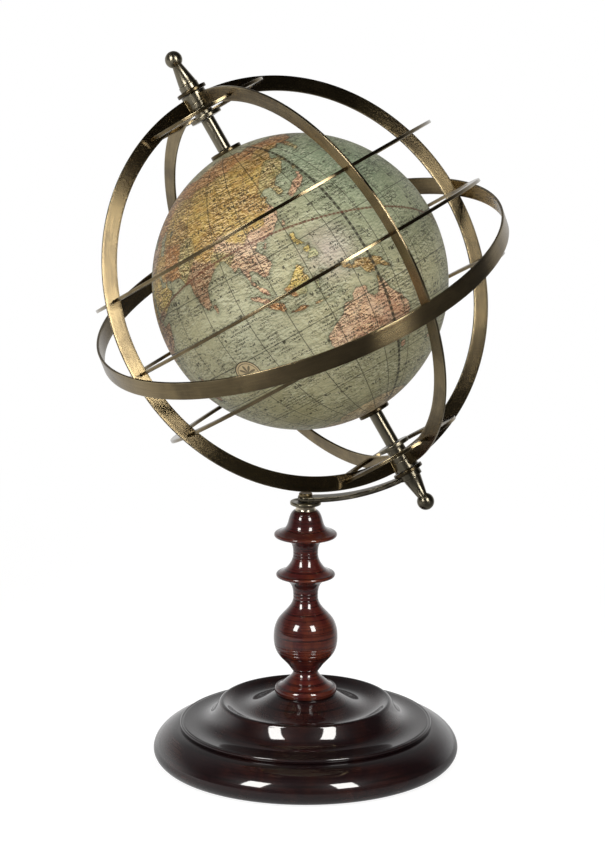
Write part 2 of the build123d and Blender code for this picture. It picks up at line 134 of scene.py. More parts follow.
class WoodSizes(bpy.types.PropertyGroup):
    """Sizes of the turned wood."""
    undercut: size("Undercut", "Widest edge of the base to the edge of its underside", 6.8 * MM)
    widest: size("Widest height", "Height of the widest edge above the underside", 7.6 * MM)
    step: size("Step", "Height of the small step on the lower disc", 3.0 * MM)
    lip: size("Rim lip", "Outer shoulder of the rim, outside its crest", 2.2 * MM)
    cove: size("Cove", "Edge of the upper disc to the crest of the rim", 26.6 * MM)
    dish: size("Dish depth", "Crest of the rim to the bottom of the dish", 3.8 * MM)
    dish_width: size("Dish width", "Crest of the rim to the bottom of the dish, across", 15.0 * MM)
    neck: size("Neck", "Radius of the necks of the column", 7.7 * MM)
    bulb: size("Bulb", "Radius of the bulb", 19.9 * MM)
    groove: size("Groove", "Width of a turned groove", 0.7 * MM)
    facets: steps("Facets", "Steps round a turned wooden piece", 200, 24, 400)


class MetalSizes(bpy.types.PropertyGroup):
    """Sizes of the brass work, and how the rings stand in the cage."""
    cage_turn: angle("Cage turn", "Where the first meridian ring stands, about the polar axis", 47.1)
    ecliptic_tilt: angle("Ecliptic tilt", "Slope of the ecliptic band to the equator", 21.7)
    ecliptic_turn: angle("Ecliptic turn", "Its crossing with the equator, from the first meridian ring", -4.0)
    corner: size("Corner", "Rounding along the edges of the bands", 0.28 * MM)
    strip: size("Ecliptic band", "Thickness of the ecliptic band", 1.5 * MM)
    pole_gap: size("Pole gap", "Ends of the meridian half rings, from the polar axis", 3.9 * MM)
    shoulder: size("Hub shoulder", "Height of the shoulder of a hub, under its collar", 3.1 * MM)
    break_edge: size("Broken edge", "Rounding on turned fittings", 0.35 * MM)
    band_steps: steps("Band steps", "Steps round a ring", 288, 24, 720)
    facets: steps("Facets", "Steps round a turned fitting", 72, 12, 256)


class MetalLook(bpy.types.PropertyGroup):
    """Finish of the brass work."""
    dark: tone("Dark bronze", "The darkest patina", (0.120, 0.092, 0.054))
    middle: tone("Bronze", "The bronzed surface", (0.345, 0.264, 0.140))
    # also the colour of the painted highlight along the edges of the brass
    rubbed: tone("Rubbed brass", "Brass where edges are rubbed bright", (0.88, 0.78, 0.53))
    fitting: tone("Fittings", "The greyer bronze of the turned fittings", (0.31, 0.275, 0.20))
    ferrule: tone("Ferrule", "Bright brass of the ferrule", (0.86, 0.76, 0.58))
    roughness: amount("Roughness", "Roughness of the brushed surface", 0.24)
    brush: amount("Brush marks", "Strength of the brush marks", 0.45)


class WoodLook(bpy.types.PropertyGroup):
    """Finish of the wood."""
    base: tone("Base", "Stained base", (0.0108, 0.0039, 0.0047))
    column: tone("Column", "Stained column", (0.051, 0.0066, 0.0062))
    warm: tone("Warm grain", "Grain that shows through the stain", (0.170, 0.040, 0.012))
    lacquer: amount("Lacquer roughness", "Roughness of the lacquer", 0.055)


class MapLook(bpy.types.PropertyGroup):
    """Finish of the printed ball."""
    radius_steps: steps("Steps", "Steps round the ball", 420, 60, 440)
    ink: tone("Ink", "Printing ink", (0.032, 0.028, 0.018))
    red_ink: tone("Red ink", "Ink of the ecliptic line and the borders", (0.12, 0.040, 0.022))
    varnish: amount("Varnish", "Amount of varnish", 0.12)
    lettering: amount("Fine marks", "Strength of the rows of fine marks", 0.90)
    # the two strengths below are of the painted shade and highlight of the embossed engraving
    land_emboss_shading: amount("Land relief", "Strength of the pressed engraving on land", 1.0)
    sea_emboss_shading: amount("Sea relief", "Strength of the pressed engraving at sea", 0.52)
    coast_detail: amount("Coast detail", "Wander of the coasts in degrees", 1.6, 4)


class StageLook(bpy.types.PropertyGroup):
    """Light, floor and camera."""
    key_power: power("Softbox power", "Power of each softbox", 12.5)
    key_wide: size("Softbox width", "Width of each softbox", 0.38)
    key_tall: size("Softbox height", "Height of each softbox", 0.66)
    key_away: size("Softbox distance", "Distance of each softbox", 1.38)
    left_turn: angle("Left softbox", "How far to the left that softbox stands", 42)
    right_turn: angle("Right softbox", "How far to the right that softbox stands", 32.5)
    key_rise: angle("Softbox rise", "How high the softboxes stand", 30.5)
    fill: amount("Fill", "Light from all round", 0.09, 2.0)
    front_power: power("Front light", "Power of the soft light over the camera", 16)
    back_power: power("Back light", "Power of the soft light behind", 15)
    camera_place: FloatVectorProperty(name="Camera", description="Where the camera stands",
                                      default=(0, -1.8333, 0.6342), subtype="TRANSLATION", unit="LENGTH")
    camera_dip: angle("Dip", "How far the camera looks down", 12.88)
    camera_turn: angle("Turn", "How far the camera is turned", 0.06)
    lens: FloatProperty(name="Lens", description="Focal length", default=130.2, min=1, unit="CAMERA")


class GlobeSettings(bpy.types.PropertyGroup):
    """Everything that can be changed on the globe."""
    wood_sizes: PointerProperty(type=WoodSizes)
    metal_sizes: PointerProperty(type=MetalSizes)
    metal: PointerProperty(type=MetalLook)
    wood: PointerProperty(type=WoodLook)
    map: PointerProperty(type=MapLook)
    stage: PointerProperty(type=StageLook)


def settings():
    return bpy.context.scene.desk_globe


# ---------------------------------------------------------------- node building
def adds_node(operation, swapped=False):
    """An operator of Python that adds a math node."""
    def act(self, *others):
        return self.tree.math(operation, *(reversed((self, *others)) if swapped else (self, *others)))
    return act


class Wire:
    """An output of a node. Arithmetic with it adds math nodes."""

    def __init__(self, tree, socket):
        self.tree, self.socket = tree, socket

    __add__ = __radd__ = adds_node("ADD")
    __mul__ = __rmul__ = adds_node("MULTIPLY")
    __sub__, __rsub__ = adds_node("SUBTRACT"), adds_node("SUBTRACT", swapped=True)
    __truediv__ = adds_node("DIVIDE")
    __abs__ = adds_node("ABSOLUTE")


class Tree:
    """Short words for building a node tree. Values are numbers, vectors, colours or wires."""

    def __init__(self, tree):
        self.tree = tree

    def put(self, socket, value):
        if isinstance(value, Wire):
            self.tree.links.new(value.socket, socket)
        elif value is not None:
            if socket.type == "RGBA" and len(value) == 3:
                value = (*value, 1)
            socket.default_value = value

    def fill(self, node, inputs):
        for key, value in inputs.items():
            self.put(node.inputs[key], value)

    def add(self, kind, inputs, **options):
        node = self.tree.nodes.new(kind)
        for key, value in options.items():
            setattr(node, key, value)
        self.fill(node, inputs)
        return node

    def first(self, kind, inputs=(), **options):
        """The first output of a new node."""
        return Wire(self, self.add(kind, dict(inputs), **options).outputs[0])

    def wires(self, kind, inputs=()):
        """All outputs of a new node by name."""
        return {socket.name: Wire(self, socket) for socket in self.add(kind, dict(inputs)).outputs}

    def math(self, operation, *values):
        return self.first("ShaderNodeMath", enumerate(values), operation=operation)

    def vector(self, operation, *values):
        node = self.add("ShaderNodeVectorMath", dict(enumerate(values)), operation=operation)
        return Wire(self, node.outputs["Value" if operation in ("DOT_PRODUCT", "LENGTH") else "Vector"])

    def parts(self, vector):
        return self.wires("ShaderNodeSeparateXYZ", {"Vector": vector}).values()

    def joined(self, x=None, y=None, z=None):
        return self.first("ShaderNodeCombineXYZ", {"X": x, "Y": y, "Z": z})

    def max(self, a, b):
        return self.math("MAXIMUM", a, b)

    def step(self, value, low, high, to_low=0.0, to_high=1.0):
        """A smooth step from low to high."""
        return self.first("ShaderNodeMapRange", {"Value": value, "From Min": low, "From Max": high, "To Min": to_low,
                                                 "To Max": to_high}, interpolation_type="SMOOTHSTEP", clamp=True)

    def noise(self, vector, scale, detail=3.0, roughness=0.55, distortion=0.0):
        return self.first("ShaderNodeTexNoise", {"Vector": vector, "Scale": scale, "Detail": detail,
                                                 "Roughness": roughness, "Distortion": distortion})

    def dice(self, x, y):
        """An unchanging random number for each place in a plane."""
        return self.first("ShaderNodeTexWhiteNoise", {"Vector": self.joined(x, y)}, noise_dimensions="2D")

    def attribute(self, name, output="Fac"):
        node = self.add("ShaderNodeAttribute", {}, attribute_name=name)
        return Wire(self, node.outputs[output])

    def here(self):
        return self.wires("ShaderNodeTexCoord")["Object"]

    def mix(self, share, a, b, blend="MIX"):
        """Two colours mixed."""
        node = self.add("ShaderNodeMix", {}, data_type="RGBA", blend_type=blend, clamp_factor=True)
        self.fill(node, {0: share, 6: a, 7: b})
        return Wire(self, node.outputs[2])

    def between(self, share, a, b):
        """Two numbers mixed."""
        node = self.add("ShaderNodeMix", {}, data_type="FLOAT")
        self.fill(node, {0: share, 2: a, 3: b})
        return Wire(self, node.outputs[0])

    def bump(self, height, strength, distance):
        return self.first("ShaderNodeBump", {"Height": height, "Strength": strength, "Distance": distance})

    def keep(self, geometry, name, value, kind="FLOAT_VECTOR"):
        """Geometry that keeps a value at each of its points."""
        return self.first("GeometryNodeStoreNamedAttribute", {"Geometry": geometry, "Name": name, "Value": value},
                          data_type=kind, domain="POINT")

    def kept(self, name):
        return self.first("GeometryNodeInputNamedAttribute", {"Name": name}, data_type="FLOAT_VECTOR")


def new_material(name):
    material = bpy.data.materials.new(name)
    material.use_nodes = True
    shader = next(n for n in material.node_tree.nodes if n.type == "BSDF_PRINCIPLED")
    return material, Tree(material.node_tree), shader


# ---------------------------------------------------------------- finishes
def dimmed(colour, share):
    return tuple(v * share for v in colour)


def brushed_metal(name, dark, middle, rubbed, look, patchy=1.0, streak=1.0, banded=False):
    """Bronzed brass, brushed along the lay, rubbed a little on its edges, where the lighter brass is also a painted
    highlight. Bands carry their distance to a corner.
    """
    material, t, shader = new_material(name)
    brush = t.attribute("brush", "Vector")
    hair = t.noise(t.vector("MULTIPLY", brush, (5.0, 5.0, 3.6)), 1.0, 3.0, 0.6)
    streaks = t.noise(t.vector("MULTIPLY", brush, (6.0, 6.0, 0.8)), 1.0, 3.0, 0.6)
    tarnish = t.noise(t.here(), 30.0, 4.0, 0.6, 0.4)
    shade = t.step(tarnish, 0.34, 0.66) * (0.55 * patchy) + t.step(streaks, 0.30, 0.70) * (0.22 * streak)
    colour = t.mix(shade, dark, middle)
    colour = t.mix(t.step(hair, 0.55, 0.80) * (0.12 * streak), colour, rubbed)
    # rubbed brass near corners and turned edges: real wear, and a painted highlight along the edges
    wear_and_glint = t.step(t.attribute("corner") * PER_MM, 0.75, 0.15) if banded else t.attribute("edge")
    wear_and_glint = wear_and_glint * t.step(streaks + tarnish * 0.5, 0.60, 0.98, 0.08, 1.0)
    # light spreads across the brush marks
    lay = t.first("ShaderNodeVectorTransform", {"Vector": t.attribute("lay", "Vector")},
                  vector_type="VECTOR", convert_from="OBJECT", convert_to="WORLD")
    facing = t.wires("ShaderNodeNewGeometry")["Normal"]
    calmer, uneven, spread, depth = (1.0, 0.06, 1.0, 0.02) if banded else (1.3, 0.03, 0.55, 0.006)
    t.fill(shader, {
        "Base Color": t.mix(wear_and_glint * 0.30, colour, rubbed), "Metallic": 1.0,
        "Roughness": hair * uneven + (look.roughness * calmer - 0.03), "Anisotropic": spread,
        "Tangent": t.vector("NORMALIZE", t.vector("CROSS_PRODUCT", lay, facing)),
        "Normal": t.bump(hair, look.brush * depth, 0.02 * MM)})
    return material


def plain_metal(name, colour, roughness):
    """Plain turned metal with fine tool marks, for pieces that keep their CAD shape."""
    material, t, shader = new_material(name)
    marks = t.noise(t.here(), 900.0)
    stains = t.noise(t.here(), 60.0, 4.0)
    t.fill(shader, {
        "Base Color": t.mix(t.step(stains, 0.35, 0.7), dimmed(colour, 0.55), colour), "Metallic": 1.0,
        "Roughness": marks * 0.14 + (roughness - 0.06), "Normal": t.bump(marks, 0.15, 0.05 * MM)})
    return material


def lacquered_wood(name, stain, warm, along, look, glow):
    """Dark stained mahogany under gloss lacquer. along is how the grain is stretched."""
    material, t, shader = new_material(name)
    here = t.here()
    grain_space = t.vector("MULTIPLY", here, along)
    figure = t.noise(grain_space, 60.0, 5.0, 0.6, 0.5)
    pores = t.noise(grain_space, 420.0, 3.0, 0.6)
    cloud = t.noise(here, 22.0)
    # fine rings left by the lathe, darker where they were cut
    turned = t.noise(t.vector("MULTIPLY", here, (0, 0, 1)), 620.0, 2.0, 0.7)
    colour = t.mix(t.step(figure, 0.40, 0.72) * glow, stain, warm)
    for mask, share, tint in (
            (t.step(cloud, 0.38, 0.66), 0.55, dimmed(stain, 0.5)),
            (t.step(pores, 0.60, 0.72), 0.55, dimmed(stain, 0.3)),
            (t.attribute("edge"), 0.35, warm),
            (t.step(turned, 0.49, 0.58), 0.80, dimmed(stain, 0.3))):
        colour = t.mix(mask * share, colour, tint)
    t.fill(shader, {
        "Base Color": colour, "Roughness": pores * 0.12 + 0.34, "Specular IOR Level": 0.12,
        "Coat Weight": 1.0, "Coat Roughness": look.lacquer, "Coat IOR": 1.65,
        "Normal": t.bump(pores + turned * 3.0, 0.14, 0.04 * MM),
        "Coat Normal": t.bump(t.noise(here, 140.0, 2.0) + turned * 0.5, 0.07, 0.2 * MM)})
    return material


def felt_cloth():
    """Dark pressed felt."""
    material, t, shader = new_material(FELT)
    fibre = t.noise(t.here(), 1500.0, 4.0, 0.7, 0.8)
    clumps = t.noise(t.here(), 160.0, 4.0, 0.6)
    colour = t.mix(t.step(clumps, 0.35, 0.7), (0.012, 0.030, 0.018), (0.030, 0.066, 0.038))
    t.fill(shader, {
        "Base Color": t.mix(t.step(fibre, 0.55, 0.75) * 0.5, colour, (0.06, 0.11, 0.07)), "Roughness": 0.95,
        "Sheen Weight": 0.5, "Sheen Roughness": 0.5, "Normal": t.bump(fibre + clumps, 0.8, 0.4 * MM)})
    return material


def plain_card():
    """Grey-brown pasted card, inside the ball."""
    material, t, shader = new_material(CARD)
    fibre = t.noise(t.here(), 700.0, 4.0, 0.7)
    t.fill(shader, {"Base Color": t.mix(fibre, (0.20, 0.15, 0.10), (0.34, 0.27, 0.18)), "Roughness": 0.9,
                    "Normal": t.bump(fibre, 0.5, 0.2 * MM)})
    return material


# ---------------------------------------------------------------- turned pieces
def clamped_spline(points, start, end, steps):
    """Points on a cubic curve through the given ones, with its directions at both ends."""
    p = np.array(points, float)
    t = np.concatenate([[0], np.cumsum(np.hypot(*np.diff(p, axis=0).T))])
    h = np.diff(t)
    n = len(p)
    a = np.zeros((n, n))
    b = np.zeros((n, 2))
    a[0, 0] = a[-1, -1] = 1
    b[0], b[-1] = np.array(start) / np.hypot(*start), np.array(end) / np.hypot(*end)
    for i in range(1, n - 1):
        a[i, i - 1], a[i, i], a[i, i + 1] = h[i], 2 * (h[i - 1] + h[i]), h[i - 1]
        b[i] = 3 * (h[i] / h[i - 1] * (p[i] - p[i - 1]) + h[i - 1] / h[i] * (p[i + 1] - p[i]))
    m = np.linalg.solve(a, b)
    out = []
    for i in range(n - 1):
        count = max(3, int(round(steps * h[i] / t[-1])))
        for u in np.arange(count) / count:
            out.append(tuple((2 * u**3 - 3 * u**2 + 1) * p[i] + (u**3 - 2 * u**2 + u) * h[i] * m[i]
                             + (3 * u**2 - 2 * u**3) * p[i + 1] + (u**3 - u**2) * h[i] * m[i + 1]))
    return out + [tuple(p[-1])]


def arc(start, middle, end, steps):
    """Points on the arc through three points."""
    (ax, ay), (bx, by), (cx, cy) = start, middle, end
    d = 2 * (ax * (by - cy) + bx * (cy - ay) + cx * (ay - by))
    a, b, c = ax**2 + ay**2, bx**2 + by**2, cx**2 + cy**2
    ux = (a * (by - cy) + b * (cy - ay) + c * (ay - by)) / d
    uy = (a * (cx - bx) + b * (ax - cx) + c * (bx - ax)) / d
    r = math.hypot(ax - ux, ay - uy)
    a0, a1, a2 = (math.atan2(y - uy, x - ux) for x, y in (start, middle, end))
    turn = (a2 - a0) % (2 * math.pi)
    if (a1 - a0) % (2 * math.pi) > turn:
        turn -= 2 * math.pi
    ways = [a0 + turn * i / steps for i in range(steps + 1)]
    return [(ux + r * math.cos(way), uy + r * math.sin(way)) for way in ways]


def rounded(corners, rounding, steps=4):
    """An outline with its corners rounded: (radius, height, wear) points. A corner may give its own rounding."""
    straight = math.radians(176)
    out = []
    for i, corner in enumerate(corners):
        here = Vector(corner[:2])
        r = corner[2] if len(corner) > 2 else rounding
        if i in (0, len(corners) - 1) or r <= 0:
            out.append((here.x, here.y, 0.0))
            continue
        before, after = Vector(corners[i - 1][:2]) - here, Vector(corners[i + 1][:2]) - here
        turn = before.angle(after)
        if turn > straight:
            out.append((here.x, here.y, 0.0))
            continue
        back = min(r / math.tan(turn / 2), 0.45 * before.length, 0.45 * after.length)
        a, b = here + before.normalized() * back, here + after.normalized() * back
        # a point just before and just after the rounding keeps the flats flat
        lead_in, lead_out = (side.normalized() * min(0.6 * back, 0.04 * side.length + 1e-6)
                             for side in (before, after))
        out.append((*(a + lead_in), 0.0))
        for s in range(steps + 1):
            u = s / steps
            point = (1 - u) ** 2 * a + 2 * u * (1 - u) * here + u**2 * b
            out.append((point.x, point.y, math.sin(math.pi * (0.15 + 0.7 * u))))
        out.append((*(b + lead_out), 0.0))
    return out


def grooved(section, heights, width):
    """Cut fine round-bottomed grooves into a section of an outline that only rises."""
    depth = 0.5 * width
    r, z = np.array(section).T
    extra = [h + u * width for h in heights for u in (-0.8, -0.5, -0.36, -0.2, 0, 0.2, 0.36, 0.5, 0.8)]
    levels = np.unique(np.concatenate([z, [v for v in extra if z[0] < v < z[-1]]]))
    radii = np.interp(levels, z, r)
    worn = np.zeros(len(levels))
    for h in heights:
        u = (levels - h) / (0.5 * width)
        radii -= depth * np.clip(1 - u * u, 0, 1)
        worn = np.maximum(worn, np.clip(1 - np.abs(np.abs(u) - 1.15) / 0.3, 0, 1))
    return list(zip(radii, levels, worn))


def finish_mesh(name, verts, faces, attributes, materials=()):
    """A smooth mesh object at the origin, with its named attributes."""
    mesh = bpy.data.meshes.new(name)
    mesh.from_pydata([tuple(v) for v in verts], [], faces)
    for key, values in attributes.items():
        values = np.asarray(values, np.float32)
        width = 1 if values.ndim == 1 else values.shape[1]
        kind, field = {1: ("FLOAT", "value"), 3: ("FLOAT_VECTOR", "vector"), 4: ("FLOAT_COLOR", "color")}[width]
        mesh.attributes.new(key, kind, "POINT").data.foreach_set(field, values.ravel())
    mesh.shade_smooth()
    mesh.validate()
    for material in materials:
        mesh.materials.append(material)
    return add_object(name, mesh)


def add_object(name, data):
    piece = bpy.data.objects.new(name, data)
    bpy.context.scene.collection.objects.link(piece)
    return piece


def pairs_round(count):
    """Each step round a ring with the next one."""
    return [(j, (j + 1) % count) for j in range(count)]


def ring_faces(first, second, count):
    """Faces between two rings of vertices, which start at the given ones."""
    return [(first + j, first + k, second + k, second + j) for j, k in pairs_round(count)]


def turn_piece(name, outline, axes, material, facets):
    """Turn an outline of (radius, height, wear) points about the Z of the axes, from one end to the other."""
    outline = [p if len(p) > 2 else (*p, 0.0) for p in outline]
    line = [outline[0]]
    for p in outline[1:]:
        if math.dist(p[:2], line[-1][:2]) > SAME_PLACE:
            line.append(p)
    closed = line[0][0] > POLE and line[-1][0] > POLE
    if closed and math.dist(line[0][:2], line[-1][:2]) < SAME_PLACE:
        line.pop()
    if sum(a[0] * b[1] - b[0] * a[1] for a, b in zip(line, line[1:] + line[:1])) < 0:
        line.reverse()
    ways = [(math.cos(a), math.sin(a)) for a in np.arange(facets) * 2 * math.pi / facets]
    verts, brush, edge, rows = [], [], [], []
    length, last = 0.0, line[0]
    for r, z, wear_and_glint in line:
        length += math.dist((r, z), last[:2])
        last = (r, z)
        rows.append((len(verts), r < POLE))
        for x, y in ways[:1] if r < POLE else ways:
            verts.append((r * x, r * y, z))
            brush.append((x, y, length / MM))
            edge.append(wear_and_glint)
    faces = []
    around = pairs_round(facets)
    for (first, first_pole), (second, second_pole) in zip(rows, rows[1:] + (rows[:1] if closed else [])):
        if first_pole:
            faces += [(first, second + k, second + j) for j, k in around]
        elif second_pole:
            faces += [(first + j, first + k, second) for j, k in around]
        else:
            faces += ring_faces(first, second, facets)
    verts = np.array(verts)
    matrix = np.array(axes)
    lay = np.cross((0, 0, 1), verts)
    lay /= np.maximum(np.linalg.norm(lay, axis=1, keepdims=True), 1e-9)
    placed = verts @ matrix[:3, :3].T + matrix[:3, 3]
    return finish_mesh(name, placed, faces, {"brush": brush, "edge": edge, "lay": lay @ matrix[:3, :3].T}, [material])


# ---------------------------------------------------------------- rings and strap
BRUSH_WAVES = 9                 # how fast the brush marks change along a strap, in radians a metre
RING_INPUTS = {
    "Radius": ("Float", 0.1), "Thickness": ("Float", 0.0015), "Width": ("Float", 0.01), "Corner": ("Float", 0.0003),
    "Steps": ("Int", 288), "Shift": ("Float", 0.0), "Half": ("Bool", False), "Start": ("Float", 0.0),
    "Sweep": ("Float", 3.0), "Centre": ("Vector", (0, 0, 0)), "Axis": ("Vector", (0, 0, 1)),
    "Turn": ("Rotation", (0, 0, 0)), "Metal": ("Material", None),
}


def ring_tree():
    """Geometry nodes of a band that runs round a circle, or over part of it: a rounded strip swept along it."""
    tree = bpy.data.node_groups.new("Ring of strip", "GeometryNodeTree")
    tree.is_modifier = True
    sockets = {}
    for name, (kind, default) in RING_INPUTS.items():
        socket = tree.interface.new_socket(name, in_out="INPUT", socket_type="NodeSocket" + kind)
        if default is not None:
            socket.default_value = default
        sockets[name] = socket.identifier
    tree.interface.new_socket("Ring", in_out="OUTPUT", socket_type="NodeSocketGeometry")
    t = Tree(tree)
    given = t.wires("NodeGroupInput")
    # the radius is that of the outer face, so the path runs half a thickness inside it
    sweep = {"Resolution": given["Steps"], "Radius": given["Radius"] - given["Thickness"] * 0.5}
    circle = t.first("GeometryNodeCurvePrimitiveCircle", sweep, mode="RADIUS")
    bow = t.first("GeometryNodeCurveArc", {**sweep, "Start Angle": given["Start"], "Sweep Angle": given["Sweep"]},
                  mode="RADIUS")
    course = t.first("GeometryNodeSwitch", {"Switch": given["Half"], "False": circle, "True": bow},
                     input_type="GEOMETRY")
    place = t.first("GeometryNodeInputPosition")
    path = t.keep(course, "round", t.vector("NORMALIZE", place))
    strip = t.first("GeometryNodeCurvePrimitiveQuadrilateral",
                    {"Width": given["Thickness"], "Height": given["Width"]}, mode="RECTANGLE")
    strip = t.first("GeometryNodeSubdivideCurve", {"Curve": strip, "Cuts": 5})
    strip = t.first("GeometryNodeFilletCurve", {"Curve": strip, "Radius": given["Corner"], "Limit Radius": True,
                                                "Count": 3}, mode="POLY")
    strip = t.keep(strip, "section", place)
    band = t.first("GeometryNodeCurveToMesh", {"Curve": path, "Profile Curve": strip, "Fill Caps": given["Half"]})
    # the fillet leaves points on top of each other along the flats
    band = t.first("GeometryNodeMergeByDistance", {"Geometry": band, "Distance": 0.02 * MM})
    around_x, around_y, _ = t.parts(t.kept("round"))
    strip_x, strip_y, _ = t.parts(t.kept("section"))
    band = t.keep(band, "brush", t.joined(around_x, around_y, strip_y * PER_MM + strip_x * PER_MM))
    # distance to the nearest corner of the strip, along its surface
    corner = t.max(given["Width"] * 0.5 - abs(strip_y), given["Thickness"] * 0.5 - abs(strip_x))
    band = t.keep(band, "corner", corner, "FLOAT")
    band = t.first("GeometryNodeTransform", {"Geometry": band, "Translation": t.joined(z=given["Shift"])})
    band = t.first("GeometryNodeTransform", {"Geometry": band, "Translation": given["Centre"],
                                             "Rotation": given["Turn"]})
    away = t.vector("SUBTRACT", place, given["Centre"])
    band = t.keep(band, "lay", t.vector("NORMALIZE", t.vector("CROSS_PRODUCT", given["Axis"], away)))
    for kind in ("SetShadeSmooth", "RealizeInstances"):
        band = t.first("GeometryNode" + kind, {"Geometry": band})
    band = t.first("GeometryNodeSetMaterial", {"Geometry": band, "Material": given["Metal"]})
    t.add("NodeGroupOutput", {0: band})
    return tree, sockets


def bake_nodes(name, tree, sockets, values):
    """Run a geometry node tree once and keep its result as a plain mesh piece."""
    maker = add_object(name, bpy.data.meshes.new(name))
    modifier = maker.modifiers.new(name, "NODES")
    modifier.node_group = tree
    for key, value in values.items():
        modifier[sockets[key]] = value
    maker.update_tag()
    bpy.context.view_layer.update()
    graph = bpy.context.evaluated_depsgraph_get()
    mesh = bpy.data.meshes.new_from_object(maker.evaluated_get(graph), preserve_all_data_layers=True, depsgraph=graph)
    maker.modifiers.remove(modifier)
    bpy.data.objects.remove(maker)
    if not mesh.polygons:
        raise RuntimeError(f"{name} came out empty")
    for spare in ("round", "section"):
        if spare in mesh.attributes:
            mesh.attributes.remove(mesh.attributes[spare])
    mesh.name = name
    return add_object(name, mesh)


def strap_piece(name, path, up, width, thickness, corner, material):
    """A flat strap that follows a path in the plane whose normal is the strap's width direction."""
    half_w, half_t = width / 2, thickness / 2
    corners = [(-half_t, -half_w), (half_t, -half_w), (half_t, half_w), (-half_t, half_w)]
    section = []
    for i, (x, y) in enumerate(corners):
        cx, cy = x - math.copysign(corner, x), y - math.copysign(corner, y)
        for s in range(5):
            a = math.radians((-180, -90, 0, 90)[i] + 90 * s / 4)
            section.append((cx + corner * math.cos(a), cy + corner * math.sin(a), 1.0))
        nx, ny = corners[(i + 1) % 4]
        for u in (0.12, 0.5, 0.88):
            section.append((x + u * (nx - x), y + u * (ny - y), 0.0))
    verts, brush, edge, lay = [], [], [], []
    run = 0.0
    for i, p in enumerate(path):
        ahead = (path[min(i + 1, len(path) - 1)] - path[max(i - 1, 0)]).normalized()
        out = ahead.cross(up).normalized()
        if i:
            run += (p - path[i - 1]).length
        for x, y, wear_and_glint in section:
            verts.append(p + out * x + up * y)
            brush.append((math.cos(run * BRUSH_WAVES), math.sin(run * BRUSH_WAVES), (y + 2 * x) / MM))
            edge.append(wear_and_glint)
            lay.append(ahead)
    n, last = len(section), len(verts) - len(section)
    faces = [face for start in range(0, last, n) for face in ring_faces(start, start + n, n)]
    faces += [tuple(range(n - 1, -1, -1)), tuple(range(last, last + n))]
    piece = finish_mesh(name, verts, faces, {"brush": brush, "edge": edge, "lay": lay}, [material])
    face_out(piece)
    return piece


def face_out(piece):
    """Turn every face outwards."""
    work = bmesh.new()
    work.from_mesh(piece.data)
    bmesh.ops.recalc_face_normals(work, faces=work.faces)
    work.to_mesh(piece.data)
    work.free()


def join_meshes(name, pieces):
    """Several meshes as one piece."""
    first = pieces[0]
    with bpy.context.temp_override(active_object=first, object=first, selected_objects=pieces,
                                   selected_editable_objects=pieces):
        bpy.ops.object.join()
    first.name = first.data.name = name
    return first


def place_piece(piece, body, slot, *nodes):
    """Hand a finished piece to its body, and hide the CAD nodes that it stands for; the slot is not used."""
    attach(piece, body)
    if nodes:
        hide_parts(*nodes)


# ---------------------------------------------------------------- the printed map
def read_places(text, share=1):
    """Places in longitude and latitude by name, from entries with semicolons between them."""
    entries = [entry.split() for entry in text.split(";")]
    return {name: np.array(values, float).reshape(-1, 2) / share for name, *values in entries}
